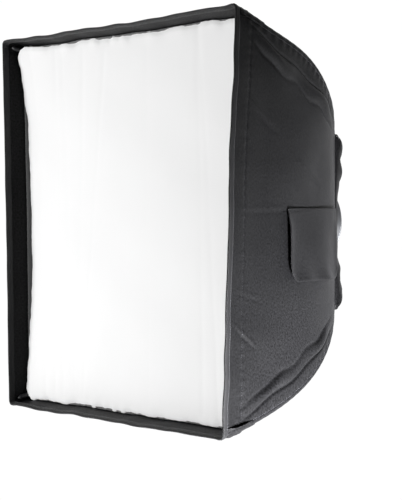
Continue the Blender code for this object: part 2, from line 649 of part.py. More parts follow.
def main():
    """Clear the scene and build every piece."""
    for obj in list(bpy.data.objects):
        bpy.data.objects.remove(obj)
    cast = material("cast_aluminium", (0.55, 0.56, 0.58), 0.45, 0.9)
    steel = material("zinc_steel", (0.62, 0.62, 0.63), 0.35, 1.0)
    fibre = material("black_glass_fibre", (0.03, 0.03, 0.03), 0.35)
    plastic = material("black_nylon", (0.02, 0.02, 0.02), 0.5)
    fabric = material("black_oxford", (0.028, 0.028, 0.030), 0.75)
    silver = material("silver_lining", (0.75, 0.76, 0.78), 0.35, 0.6)
    binding = material("black_binding", (0.05, 0.05, 0.052), 0.7)
    webbing = material("black_webbing", (0.025, 0.025, 0.025), 0.8)
    tape = material("black_hook_and_loop", (0.02, 0.02, 0.02), 0.95)
    white = material("white_nylon", (0.88, 0.88, 0.88), 0.7)
    mesh = material("black_mesh", (0.03, 0.03, 0.03), 0.85)
    mount = pivot("mount")
    hub = pivot("softbox")
    knob_turn = pivot("lock_knob_turn", (0, LOCK_Y, 0))
    slide = pivot("front_diffuser_slide", (0, DIFFUSER_Y, 0))
    collars = {side: pivot(f"collar_flap_{side}_hinge", collar_hinge(side)) for side in SIDES}
    vents = {side: pivot(f"vent_flap_{side}_hinge", flap_hinge(side)[0]) for side in ("right", "left")}
    build_insert(mount, cast)
    build_speed_ring(hub, cast)
    build_retainer(hub, cast, steel)
    build_lock(knob_turn, plastic, steel)
    build_rods(hub, fibre, steel, plastic, webbing)
    build_shell(hub, fabric, silver, binding)
    build_diffusers(hub, slide, white, tape, webbing)
    build_collar(collars, fabric)
    build_vents(hub, vents, fabric, mesh)


main()
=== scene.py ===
"""Looks of a square studio softbox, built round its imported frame.

The box is cloth stretched on four bowed rods, so nearly every soft piece is a patch of one
surface: the rounded square that the box has at each Y, pushed in or out along its normal. A patch
is given by a place across a side, a Y and a lift off the cloth, and each function says which.
Metres, +Z up; the light shines towards -Y.
"""
import math

import bpy
import numpy as np
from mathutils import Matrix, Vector


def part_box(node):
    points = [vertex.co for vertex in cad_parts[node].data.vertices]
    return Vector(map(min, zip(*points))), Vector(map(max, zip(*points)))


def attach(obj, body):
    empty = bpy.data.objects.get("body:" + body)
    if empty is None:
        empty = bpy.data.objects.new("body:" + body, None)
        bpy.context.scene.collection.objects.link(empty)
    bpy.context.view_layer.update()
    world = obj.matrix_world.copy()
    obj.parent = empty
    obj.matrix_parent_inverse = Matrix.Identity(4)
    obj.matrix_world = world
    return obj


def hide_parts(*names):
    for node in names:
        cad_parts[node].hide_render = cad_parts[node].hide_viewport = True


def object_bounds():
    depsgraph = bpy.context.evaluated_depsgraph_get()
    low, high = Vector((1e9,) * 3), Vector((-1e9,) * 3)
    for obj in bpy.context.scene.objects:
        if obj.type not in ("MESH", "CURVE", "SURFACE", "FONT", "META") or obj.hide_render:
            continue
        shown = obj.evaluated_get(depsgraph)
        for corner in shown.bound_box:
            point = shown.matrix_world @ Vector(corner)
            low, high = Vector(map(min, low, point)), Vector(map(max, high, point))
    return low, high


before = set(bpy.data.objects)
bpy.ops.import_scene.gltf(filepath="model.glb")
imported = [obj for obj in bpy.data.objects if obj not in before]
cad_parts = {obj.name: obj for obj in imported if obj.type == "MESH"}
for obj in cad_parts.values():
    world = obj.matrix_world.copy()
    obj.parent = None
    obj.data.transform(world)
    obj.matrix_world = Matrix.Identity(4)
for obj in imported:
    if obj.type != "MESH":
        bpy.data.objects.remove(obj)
CAD_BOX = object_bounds()

# --- the box, from the frame -----------------------------------------------------------------
FRONT_Y = CAD_BOX[0].y
HALF = CAD_BOX[1].x
RING_LOW, RING_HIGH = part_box("retaining_ring")
KNOB_LOW, KNOB_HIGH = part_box("lock_knob")
DIFFUSER_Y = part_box("front_diffuser")[0].y
BAFFLE_LOW, BAFFLE_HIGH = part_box("inner_baffle")
SHELL_REAR_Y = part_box("shell_top")[1].y - 0.0006
FLAP_LOW, FLAP_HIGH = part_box("vent_flap_right")
MESH_LOW, MESH_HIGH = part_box("vent_mesh_right")
RING_R = RING_HIGH.x + 0.0010
RING_REAR_Y = RING_LOW.y - 0.0003
SIDES = ("top", "right", "bottom", "left")
CORNERS = {"top_right": (1, 1), "bottom_right": (1, -1), "bottom_left": (-1, -1), "top_left": (-1, 1)}

# --- the rods' bow, as the frame has it --------------------------------------------------------
ROD_R = 0.00225
ROD_INSET = 0.010
SOCKET_RHO = RING_R - 0.0090
SOCKET_Y = RING_REAR_Y - 0.0150
SOCKET_LENGTH = 0.0180
REAR_ANGLE = math.radians(67)
FRONT_ANGLE = math.radians(19)
REAR_PULL, FRONT_PULL = 0.43, 0.39
ROOT2 = math.sqrt(2)

# --- sewing ------------------------------------------------------------------------------------
CORNER_R = 0.0065             # cloth rounds over a rod
HEM_CORNER_R = 0.0030         # and this much more at the hem, which the rods' pockets fill out
CLOTH = 0.0008                # coated cloth's thickness
RECESS_SEAM = DIFFUSER_Y - FRONT_Y + 0.008     # row of stitches outside the loop tape
DIFFUSER_R = 0.020            # rounded corners of the front diffuser, which clear the rods' pockets
VENT_FRONT_Y = MESH_LOW.y - 0.0005
VENT_REAR_Y = MESH_HIGH.y + 0.0003
VENT_TOP_Z = MESH_HIGH.z + 0.0003
VENT_BOTTOM_Z = MESH_LOW.z - 0.0003
CORE = 0.115                  # columns of a side panel run straight as far out as this
SETTLED = {                   # how far each front corner has moved in X and Z, and its rod's slack behind it
    "top_right": (0.0185, 0.0020, 0.0085), "bottom_right": (-0.0150, -0.0040, 0.0),
    "bottom_left": (0.0060, -0.0020, 0.0), "top_left": (-0.0180, 0.0, 0.0)}
FULLNESS = 0.0045             # how much further the rods bow, across and up


def run_along(line):
    """Each point's distance along a line of points."""
    return np.concatenate([[0], np.cumsum(np.linalg.norm(np.diff(line, axis=0), axis=1))])


def bow(samples=400):
    """Distance from the axis and Y along a rod: a straight run, then a cubic between two angles."""
    rear = np.array([math.sin(REAR_ANGLE), -math.cos(REAR_ANGLE)])
    front = np.array([math.sin(FRONT_ANGLE), -math.cos(FRONT_ANGLE)])
    socket = np.array([SOCKET_RHO, SOCKET_Y])
    start = socket + rear * SOCKET_LENGTH
    end = np.array([(HALF - ROD_INSET) * ROOT2, FRONT_Y])
    chord = np.linalg.norm(end - start)
    first, second = start + rear * chord * REAR_PULL, end - front * chord * FRONT_PULL
    t = np.linspace(0, 1, samples)[:, None]
    curve = ((1 - t) ** 3 * start + 3 * (1 - t) ** 2 * t * first
             + 3 * (1 - t) * t ** 2 * second + t ** 3 * end)
    points = np.vstack([socket, curve])
    return points, run_along(points)


BOW, BOW_ARC = bow()
HALF_TABLE = BOW[::-1, 0] / ROOT2 + ROD_INSET
Y_TABLE = BOW[::-1, 1]
SLOPE_TABLE = np.gradient(HALF_TABLE, Y_TABLE)
ALONG_TABLE = np.concatenate([[0], np.cumsum(np.hypot(np.diff(HALF_TABLE), np.diff(Y_TABLE)))])


def half_width(y):
    """Half the width of the box at Y."""
    return np.interp(y, Y_TABLE, HALF_TABLE)


def outward(y):
    """The side's normal at Y: its share outwards and its share along Y."""
    slope = np.interp(y, Y_TABLE, SLOPE_TABLE)
    length = np.sqrt(1 + slope ** 2)
    return 1 / length, -slope / length


def y_at_along(along):
    """Y after this much cloth from the front hem."""
    return np.interp(along, ALONG_TABLE, Y_TABLE)


def along_at(y):
    """Cloth from the front hem to Y."""
    return np.interp(y, Y_TABLE, ALONG_TABLE)


def corner_r(y):
    """Radius of the cloth's corner at Y: wide at the hem, then close round the rod."""
    return CORNER_R + HEM_CORNER_R * np.exp(-((along_at(y) / 0.045) ** 2))


def step(x, low, high):
    """Smooth step from 0 at low to 1 at high."""
    t = np.clip((x - low) / (high - low), 0, 1)
    return t * t * (3 - 2 * t)


def hump(x, width):
    """Bell curve of x with this half width."""
    return np.exp(-(x / width) ** 2)


# --- folds of the outer cloth --------------------------------------------------------------------
def swell(s, along, seed, longest, shortest, count=6):
    """Slow waves: a sum of sines across the cloth with random lengths, turns and phases."""
    rng = np.random.default_rng(seed)
    total = 0
    for length in np.geomspace(longest, shortest, count):
        turn, phase = rng.uniform(0, math.pi), rng.uniform(0, math.tau)
        total = total + np.sin(math.tau * (s * math.cos(turn) + along * math.sin(turn)) / length + phase) \
            * length / longest
    return total / 2


def crease(s, along, start, end, width, depth):
    """A crease: a narrow valley beside a narrow ridge along a line, fading at both ends."""
    a, b = np.array(start), np.array(end)
    length = np.linalg.norm(b - a)
    direction = (b - a) / length
    run = (s - a[0]) * direction[0] + (along - a[1]) * direction[1]
    off = -(s - a[0]) * direction[1] + (along - a[1]) * direction[0]
    fade = step(run, 0, length * 0.25) * (1 - step(run, length * 0.7, length))
    return depth * fade * (hump(off - width, width) - hump(off + width * 0.4, width))


CREASES = {       # (across, cloth from the hem) in metres: from, to, width, depth
    "right": [
        ((0.165, 0.016), (0.210, 0.090), 0.003, 0.0014), ((-0.018, 0.004), (-0.027, 0.340), 0.0028, 0.0013),
        ((0.110, 0.015), (0.130, 0.110), 0.003, 0.0009), ((-0.200, 0.040), (-0.150, 0.150), 0.006, 0.0012),
        ((-0.105, 0.200), (-0.060, 0.330), 0.005, 0.0010)],
    "left": [
        ((-0.170, 0.030), (-0.120, 0.210), 0.004, 0.0016), ((0.120, 0.050), (0.210, 0.190), 0.005, 0.0014),
        ((0.020, 0.110), (-0.080, 0.300), 0.006, 0.0010)],
    "top": [
        ((-0.200, 0.030), (-0.090, 0.200), 0.005, 0.0016), ((0.060, 0.070), (0.160, 0.260), 0.006, 0.0016),
        ((-0.050, 0.180), (0.020, 0.330), 0.005, 0.0012)],
    "bottom": [
        ((0.180, 0.030), (0.070, 0.210), 0.005, 0.0016), ((-0.080, 0.060), (-0.150, 0.240), 0.006, 0.0014)],
}
FOLD_LINE = {"right": -0.020, "left": 0.020, "top": 0.0, "bottom": 0.0}    # pressed in from storage
FOLD_ROUND = 0.006            # radius of that fold
HOLLOW = {"right": 0.013, "left": 0.013, "top": 0.004, "bottom": 0.0}      # depth of the fold's valley
HEM_SAG = {"right": 0.0010, "left": 0.0020, "top": 0.0042, "bottom": 0.0}
SAG_REACH = 0.090             # cloth over which the hem's sag dies out
SLOW_WAVE = 0.0016
HEM_WAVE, HEM_WAVE_LENGTH, HEM_WAVE_REACH = 0.0005, 0.083, 0.030
PUCKER, PUCKER_LENGTH = 0.00035, 0.017         # along the sewn row of the recess
SEAM_GROOVE, SEAM_GROOVE_WIDTH = 0.0011, 0.0018
CORNER_ROW = 0.0095           # top-stitching beside each corner seam
ROW_GROOVE, ROW_GROOVE_WIDTH = 0.0006, 0.0014
RIB, RIB_LENGTH = 0.0006, 0.021                # gathers between that row and the corner
NEAR_VALLEY, FAR_VALLEY, TAUT_RIDGE = 0.0034, 0.0016, 0.0042


def rod_folds(seed, sign, along, corner):
    """Taut folds beside one rod: a sharp valley, a broad ridge beyond it, then a softer valley.

    Both valleys start close to the corner, bow away from it at mid-length and waver a little.
    """
    rng = np.random.default_rng(31 + 7 * seed + sign)
    reach, start, end = rng.uniform(0.021, 0.027), rng.uniform(0.01, 0.03), rng.uniform(0.40, 0.44)
    arc = np.sin(math.pi * np.clip((along - start) / (end - start), 0, 1)) ** 0.6
    near = 0.009 + reach * arc + 0.0022 * np.sin(along / 0.019 + seed)
    far = near + (0.018 + rng.uniform(0.004, 0.014) * arc) * (1 + 0.09 * np.sin(along / 0.013 + 2 * seed))
    between = np.clip((corner - near) / (far - near), 0, 1)
    ridge = np.sin(math.pi * between) * (0.8 + 0.5 * np.sin(along / 0.027 + 3 * seed))
    folds = -NEAR_VALLEY * hump(corner - near, 0.0026) - FAR_VALLEY * hump(corner - far, 0.0034)
    window = step(along, start, start + 0.06) * (1 - step(along, end - 0.10, end))
    return window * (folds + TAUT_RIDGE * ridge)


def relief(side, s, y):
    """How far the outer cloth stands off its plain surface, out positive.

    Sum of: the hem's sag between corners, the pressed fold down the middle, the folds beside the
    rods, slow waves, creases, and puckers along the sewn rows. All but the last die out at the
    corners, where two sides are sewn together, and at the rear edge, which is the collar's hinge.
    """
    h = half_width(y)
    along = along_at(y)
    corner = h - np.abs(s)
    share = np.clip(np.abs(s) / h, 0, 1)
    seed = SIDES.index(side)
    total = -HEM_SAG[side] * (1 - share ** 2) * np.exp(-along / SAG_REACH)
    valley = np.clip(1 - np.sqrt((s - FOLD_LINE[side]) ** 2 + FOLD_ROUND ** 2) / h, 0, 1)
    total = total - HOLLOW[side] * valley * step(along, -0.01, 0.11) * (1 - step(along, 0.20, 0.46))
    for sign in (-1, 1):
        total = total + np.where(np.sign(s) == sign, 1.0, 0.0) * rod_folds(seed, sign, along, corner)
    total = total + SLOW_WAVE * swell(s, along, 11 + seed, 0.260, 0.070)
    for line in CREASES[side]:
        total = total + crease(s, along, *line)
    total = total + HEM_WAVE * np.sin(math.tau * s / HEM_WAVE_LENGTH + seed) * np.exp(-along / HEM_WAVE_REACH)
    total = total * step(corner, 0.002, 0.030) * step(np.abs(along - along_at(SHELL_REAR_Y)), 0.001, 0.035)
    seam = along - RECESS_SEAM
    pucker = np.sin(math.tau * s / PUCKER_LENGTH + 2 * np.sin(s / 0.040)) * hump(seam, 0.010)
    rows = PUCKER * pucker - SEAM_GROOVE * hump(seam, SEAM_GROOVE_WIDTH)
    rib = np.sin(math.tau * along / RIB_LENGTH + 2 * np.sin(along / 0.045 + seed))
    groove = hump(corner - CORNER_ROW, ROW_GROOVE_WIDTH)
    total = total + rows * step(corner, 0.004, 0.012)
    return total + RIB * rib * hump(corner - 0.013, 0.007) - ROW_GROOVE * groove


def settle(points):
    """The racked frame: the front's corners have moved, what lies between follows, and the rear stays put.

    Each rod also bows a little further out at mid-depth, at its corner only, and the cloth hangs
    slack behind the hem where SETTLED says so. All of it fades out at the shell's rear edge, which
    is the collar's hinge.
    """
    out = np.array(points, float)
    share = np.clip((SOCKET_Y - out[..., 1]) / (SOCKET_Y - FRONT_Y), 0, 1)
    share = share * step(SHELL_REAR_Y - out[..., 1], 0, 0.060)
    at_corner = (np.clip(out[..., 0] * out[..., 2] / half_width(out[..., 1]) ** 2, -1, 1)) ** 4
    fuller = FULLNESS * np.sin(math.pi * share ** 0.75) * at_corner
    right, up = (0.5 + 0.5 * np.clip(out[..., k] / HALF, -1, 1) for k in (0, 2))
    out[..., 0] += fuller * np.sign(out[..., 0])
    out[..., 2] += fuller * np.sign(out[..., 2])
    for corner, (dx, dz, slack) in SETTLED.items():
        weight = (right if "right" in corner else 1 - right) * (up if "top" in corner else 1 - up)
        out[..., 0] += dx * weight * share
        out[..., 2] += dz * weight * share - slack * weight ** 2 * hump(share - 0.76, 0.20)
    return out


def turn_to(side, across, y, out):
    """World points of a side's own coordinates: across it, Y, and outwards from the axis."""
    quarter = SIDES.index(side) * math.pi / 2
    cos, sin = round(math.cos(quarter)), round(math.sin(quarter))
    across, y, out = np.broadcast_arrays(across, y, out)
    return np.stack([across * cos + out * sin, y, out * cos - across * sin], axis=-1)


def on_side(side, s, y, lift=0.0, follow=1.0, radius=None):
    """Points on a side: s across it, at Y, a lift off the cloth; follow is its share of the folds.

    At each Y the box is a square with round corners. A lift grows the square and its corners alike.
    """
    s, y, lift = np.broadcast_arrays(np.asarray(s, float), np.asarray(y, float), np.asarray(lift, float))
    off = lift + follow * relief(side, s, y)
    n_out, n_y = outward(y)
    h = half_width(y) + n_out * off
    r = np.maximum((corner_r(y) if radius is None else radius) + lift, 0.0006)
    corner = np.clip(h - np.abs(s), 0, r)
    out = h - (r - np.sqrt(np.clip(r ** 2 - (r - corner) ** 2, 0, None)))
    return settle(turn_to(side, s, y + n_y * off, out))


def mitre(y, lift=0.0, radius=None):
    """Half the width of a side where its round corner meets the next side's, on the diagonal."""
    n_out, _ = outward(y)
    r = np.maximum((corner_r(y) if radius is None else radius) + lift, 0.0006)
    return half_width(y) + n_out * lift - (1 - 1 / ROOT2) * r


def shares(count, packed=0.0):
    """Places from -1 to 1, packed closer at the ends."""
    t = np.linspace(-1, 1, count)
    return (1 - packed) * t + packed * np.sin(t * math.pi / 2)


def spread(q, y, lift=0.0, core=CORE):
    """Across positions for shares q of a side: straight columns in its core, fanned out beyond."""
    edge = mitre(y, lift)
    share = core / HALF
    outer = np.sign(q) * (core + (np.abs(q) - share) / (1 - share) * (edge - core))
    return np.where(np.abs(q) <= share, q * HALF, outer)


# --- meshes --------------------------------------------------------------------------------------
def unit(vectors):
    """The same directions, one long."""
    return vectors / np.linalg.norm(vectors, axis=-1, keepdims=True)


def sampled(at, arc, values):
    """Values that stand at these lengths along a line, read off at other lengths."""
    return np.stack([np.interp(at, arc, values[:, k]) for k in range(3)], axis=-1)


def put_mesh(name, points, quads, uv=None, smooth=True):
    """An object of points and four-cornered faces; uv gives each point its place on the flat cloth."""
    mesh = bpy.data.meshes.new(name)
    quads = np.asarray(quads, np.int32)
    mesh.vertices.add(len(points))
    mesh.vertices.foreach_set("co", np.asarray(points, np.float32).ravel())
    mesh.loops.add(quads.size)
    mesh.loops.foreach_set("vertex_index", quads.ravel())
    mesh.polygons.add(len(quads))
    mesh.polygons.foreach_set("loop_start", np.arange(0, quads.size, 4, dtype=np.int32))
    mesh.polygons.foreach_set("use_smooth", np.full(len(quads), smooth))
    mesh.update(calc_edges=True)
    if uv is not None:
        layer = mesh.uv_layers.new(name="flat")
        layer.data.foreach_set("uv", np.asarray(uv, np.float32)[quads.ravel()].ravel())
    mesh.validate()
    obj = bpy.data.objects.new(name, mesh)
    bpy.context.collection.objects.link(obj)
    return obj


def grid_quads(rows, columns, round_rows=False, round_columns=False):
    """Corner numbers of a grid's faces; a round direction joins its last line to its first."""
    i = np.arange(rows if round_rows else rows - 1)
    j = np.arange(columns if round_columns else columns - 1)
    i, j = np.meshgrid(i, j, indexing="ij")
    down, over = (i + 1) % rows, (j + 1) % columns
    return np.stack([i * columns + j, i * columns + over, down * columns + over, down * columns + j],
                    axis=-1).reshape(-1, 4)


def dress(obj, look, body, stands_for=(), thick=None, offset=-1.0):
    """Give a piece its material, body, the nodes it replaces and a cloth thickness."""
    obj.data.materials.append(look)
    if thick:
        wall = obj.modifiers.new("thickness", "SOLIDIFY")
        wall.thickness = thick
        wall.offset = offset
    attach(obj, body)
    if stands_for:
        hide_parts(*stands_for)
    return obj


def patch(name, points, uv=None, keep=None, flip=False, **rounds):
    """A sheet from a grid of points; keep marks the faces that stay."""
    rows, columns = points.shape[:2]
    quads = grid_quads(rows, columns, **rounds)
    if keep is not None:
        quads = quads[keep.ravel()]
    if flip:
        quads = quads[:, ::-1]
    flat = None if uv is None else np.broadcast_to(uv, (rows, columns, 2)).reshape(-1, 2)
    return put_mesh(name, points.reshape(-1, 3), quads, flat)


def lathe(name, radii, ys, around=128, place=None, closed=True):
    """Turn a profile about Y. radii may hold one row of values round the axis for each Y."""
    angles = np.linspace(0, math.tau, around, endpoint=False)
    radii = np.asarray([np.broadcast_to(r, around) for r in radii], float)
    ys = np.array(ys, float)
    points = np.stack([radii * np.cos(angles), np.broadcast_to(ys[:, None], radii.shape),
                       radii * np.sin(angles)], axis=-1)
    mean = radii.mean(axis=1)
    area = np.sum(mean * np.roll(ys, -1) - np.roll(mean, -1) * ys)
    if place is not None:
        origin, turn = place
        points = points @ np.asarray(turn).T + np.asarray(origin)
    obj = patch(name, points, flip=area > 0, round_rows=closed, round_columns=True)
    obj.data.set_sharp_from_angle(angle=SHARP)
    return obj


def tube(name, path, radii, across, around=20, closed=False):
    """Rings round a path that lies in a plane whose normal is across."""
    path = np.asarray(path, float)
    across = np.broadcast_to(np.asarray(across, float), path.shape)
    up = np.cross(unit(np.gradient(path, axis=0)), across)
    angles = np.linspace(0, math.tau, around, endpoint=False)
    radii = np.broadcast_to(np.asarray(radii, float), len(path))
    points = path[:, None] + radii[:, None, None] * (across[:, None] * np.cos(angles)[:, None]
                                                     + up[:, None] * np.sin(angles)[:, None])
    return patch(name, points, round_rows=closed, round_columns=True)


def stitches(name, rows, body, pitch=0.0042, radius=0.00042, look="thread"):
    """Rows of stitches: on each row of (points, normals), short spindles of thread a pitch apart.

    A spindle is four rings of six points whose radius swells and closes along its length.
    """
    swell_by = np.array([0.15, 1.0, 1.0, 0.15])
    reach = np.array([-0.40, -0.22, 0.22, 0.40])
    angles = np.linspace(0, math.tau, 6, endpoint=False)
    caps = np.array([[0, 1, 2, 3], [0, 3, 4, 5], [21, 20, 19, 18], [23, 22, 21, 18]])
    spindle = np.vstack([grid_quads(4, 6, round_columns=True)[:, ::-1], caps])
    verts, quads, base = [], [], 0
    for points, normals in rows:
        arc = run_along(points)
        at = np.arange(pitch / 2, arc[-1], pitch)
        run = unit(sampled(at + 1e-3, arc, points) - sampled(at - 1e-3, arc, points))
        side = unit(np.cross(run, sampled(at, arc, normals)))
        up = np.cross(side, run)
        ring = (side[:, None, None] * np.cos(angles)[None, None, :, None]
                + up[:, None, None] * np.sin(angles)[None, None, :, None])
        spindles = (sampled(at, arc, points)[:, None, None]
                    + run[:, None, None] * (reach * pitch)[None, :, None, None]
                    + ring * radius * swell_by[None, :, None, None])
        first = base + 24 * np.arange(len(at))
        quads.append((spindle[None] + first[:, None, None]).reshape(-1, 4))
        verts.append(spindles.reshape(-1, 3))
        base += 24 * len(at)
    obj = put_mesh(name, np.vstack(verts), np.vstack(quads))
    return dress(obj, LOOKS[look], body)


def row_on(side, s, y, lift=0.0002, follow=1.0, radius=None):
    """Points and normals of a sewn row on a side."""
    points = on_side(side, s, y, lift, follow, radius)
    return points, on_side(side, s, y, lift + 0.001, follow, radius) - points


def side_uv(side, s, y):
    """Place on the flat cloth, in metres; each side has its own patch of it."""
    return np.stack(np.broadcast_arrays(s + SIDES.index(side) * 2.0, along_at(y)), axis=-1)


# --- materials -----------------------------------------------------------------------------------
def colour(code):
    """A hex colour, as it looks on screen, in the linear values that shaders take."""
    value = np.array([int(code[i:i + 2], 16) / 255 for i in (1, 3, 5)])
    linear = np.where(value <= 0.04045, value / 12.92, ((value + 0.055) / 1.055) ** 2.4)
    return (*(float(v) for v in linear), 1.0)


def add(tree, kind, inputs=None, **settings):
    """Add a shader node; inputs holds its sockets' values, or the sockets that they come from."""
    made = tree.nodes.new("ShaderNode" + kind)
    for key, value in settings.items():
        setattr(made, key, value)
    for key, value in (inputs or {}).items():
        if isinstance(value, bpy.types.NodeSocket):
            tree.links.new(value, made.inputs[key])
        else:
            made.inputs[key].default_value = value
    return made


def new_look(name):
    """An empty material's tree and its output."""
    look = bpy.data.materials.new(name)
    look.use_nodes = True
    look.node_tree.nodes.clear()
    return look, look.node_tree, look.node_tree.nodes.new("ShaderNodeOutputMaterial")


def mottled(tree, place, base, scale, amount, detail=4):
    """The base colour made a little lighter and darker by noise."""
    noise = add(tree, "TexNoise", {"Vector": place, "Scale": scale, "Detail": detail})
    value = add(tree, "MapRange", {"Value": noise.outputs["Fac"], "From Min": 0.3, "From Max": 0.7,
                                   "To Min": 1 - amount, "To Max": 1 + amount})
    return add(tree, "HueSaturation", {"Value": value.outputs[0], "Color": base}).outputs[0]


def waves(tree, place, pitch, axis):
    """A wave from 0 to 1 with this pitch along U or V, or along an axis of the object."""
    value = add(tree, "SeparateXYZ", {"Vector": place}).outputs[axis]
    turned = add(tree, "Math", {0: value, 1: math.tau / pitch}, operation="MULTIPLY").outputs[0]
    sine = add(tree, "Math", {0: turned}, operation="SINE").outputs[0]
    return add(tree, "Math", {0: sine, 1: 0.5, 2: 0.5}, operation="MULTIPLY_ADD").outputs[0]


def finish_look(tree, output, color, height, bump, roughness, distance=0.0004, **principled):
    """A Principled surface with a bump, linked to the output."""
    normal = add(tree, "Bump", {"Height": height, "Strength": bump, "Distance": distance}).outputs[0]
    inputs = {"Base Color": color, "Roughness": roughness, "Normal": normal}
    inputs.update({key.replace("_", " "): value for key, value in principled.items()})
    shader = add(tree, "BsdfPrincipled", inputs)
    tree.links.new(shader.outputs[0], output.inputs["Surface"])
    return shader


def flat_place(tree):
    """Place on the flat cloth, in metres."""
    return add(tree, "UVMap", uv_map="flat").outputs["UV"]


def object_place(tree):
    """Place in the part's own frame, in metres."""
    return add(tree, "TexCoord").outputs["Object"]


def look_oxford(name, code, shine):
    """Polyester oxford: a basket weave of threads that differ a little, with its coat's dull shine.

    The weave's ribs stand 1.4 mm apart, and the grains of its speckle about 4 mm.
    """
    look, tree, output = new_look(name)
    place = flat_place(tree)
    base = mottled(tree, place, mottled(tree, place, colour(code), 9.0, 0.14), 280.0, 0.90, 3)
    over, under = waves(tree, place, 0.0014, 0), waves(tree, place, 0.0014, 1)
    weave = add(tree, "Math", {0: over, 1: under}, operation="MULTIPLY").outputs[0]
    rough = add(tree, "TexNoise", {"Vector": place, "Scale": 24.0, "Detail": 3.0}).outputs["Fac"]
    dull = add(tree, "MapRange", {"Value": rough, "To Min": 0.46, "To Max": 0.62}).outputs[0]
    finish_look(tree, output, base, weave, 0.35, dull, Sheen_Weight=0.2 * shine, Sheen_Roughness=0.4,
                Sheen_Tint=colour("#c4c4ca"), Specular_IOR_Level=shine)
    return look


def look_silver():
    """Metallised film on the lining: grey metal pressed with small dimples, which scatter the light."""
    look, tree, output = new_look("silver_lining")
    place = flat_place(tree)
    cells = add(tree, "TexVoronoi", {"Vector": place, "Scale": 230.0}).outputs["Distance"]
    base = mottled(tree, place, colour("#bfc1c6"), 12.0, 0.05)
    finish_look(tree, output, base, cells, 0.8, 0.34, distance=0.0006, Metallic=0.85)
    return look


def look_grosgrain(name, code, pitch, rough):
    """Woven tape whose ribs run across it; their shine breaks into fine lines."""
    look, tree, output = new_look(name)
    place = flat_place(tree)
    ribs = waves(tree, place, pitch, 0)
    finish_look(tree, output, mottled(tree, place, colour(code), 60.0, 0.12), ribs, 0.7, rough,
                Sheen_Weight=0.1, Sheen_Roughness=0.4, Specular_IOR_Level=0.3)
    return look


def look_fuzz():
    """Hook-and-loop tape: a pile of fine loops that swallows light and has no shine."""
    look, tree, output = new_look("hook_and_loop")
    place = flat_place(tree)
    pile = add(tree, "TexVoronoi", {"Vector": place, "Scale": 900.0}).outputs["Distance"]
    finish_look(tree, output, mottled(tree, place, colour("#1b1b1c"), 300.0, 0.4), pile, 1.0, 0.95,
                Sheen_Weight=0.6, Sheen_Roughness=0.7)
    return look


def look_diffuser():
    """White ripstop nylon: thin enough to let light through, with its faint check of thicker threads."""
    look, tree, output = new_look("diffuser_cloth")
    place = flat_place(tree)
    base = mottled(tree, place, colour("#f5f5f5"), 5.0, 0.012)
    over, under = waves(tree, place, 0.005, 0), waves(tree, place, 0.005, 1)
    check = add(tree, "Math", {0: over, 1: under}, operation="MAXIMUM").outputs[0]
    thick = add(tree, "Math", {0: check, 1: 24.0}, operation="POWER").outputs[0]
    shader = finish_look(tree, output, base, thick, 0.15, 0.72, distance=0.0002, Sheen_Weight=0.15)
    through = add(tree, "BsdfTranslucent", {"Color": colour("#f5f5f5")})
    mixed = add(tree, "MixShader", {"Fac": 0.12, 1: shader.outputs[0], 2: through.outputs[0]})
    tree.links.new(mixed.outputs[0], output.inputs["Surface"])
    return look


def look_mesh():
    """Warp-knit mesh: black filaments round open holes in rows 2.6 mm apart."""
    look, tree, output = new_look("vent_mesh")
    place = flat_place(tree)
    pitch = 0.0026
    over, under = waves(tree, place, pitch, 0), waves(tree, place, pitch, 1)
    open_part = add(tree, "Math", {0: over, 1: under}, operation="MULTIPLY").outputs[0]
    hole = add(tree, "MapRange", {"Value": open_part, "From Min": 0.34, "From Max": 0.40}).outputs[0]
    shader = finish_look(tree, output, colour("#1a1a1b"), open_part, 0.6, 0.6, Sheen_Weight=0.3)
    clear = add(tree, "BsdfTransparent")
    mixed = add(tree, "MixShader", {"Fac": hole, 1: shader.outputs[0], 2: clear.outputs[0]})
    tree.links.new(mixed.outputs[0], output.inputs["Surface"])
    return look


def look_solid(name, code, rough, grain, bump, metallic=0.0, stretch=(1, 1, 1), amount=0.06):
    """A hard material: its colour, with a grain that may be drawn out along an axis."""
    look, tree, output = new_look(name)
    place = add(tree, "Mapping", {"Vector": object_place(tree), "Scale": stretch}).outputs[0]
    height = add(tree, "TexNoise", {"Vector": place, "Scale": grain, "Detail": 3.0}).outputs["Fac"]
    wear = add(tree, "MapRange", {"Value": height, "To Min": rough - 0.06, "To Max": rough + 0.06}).outputs[0]
    finish_look(tree, output, mottled(tree, place, colour(code), grain / 8, amount), height, bump, wear,
                distance=0.0002, Metallic=metallic)
    return look


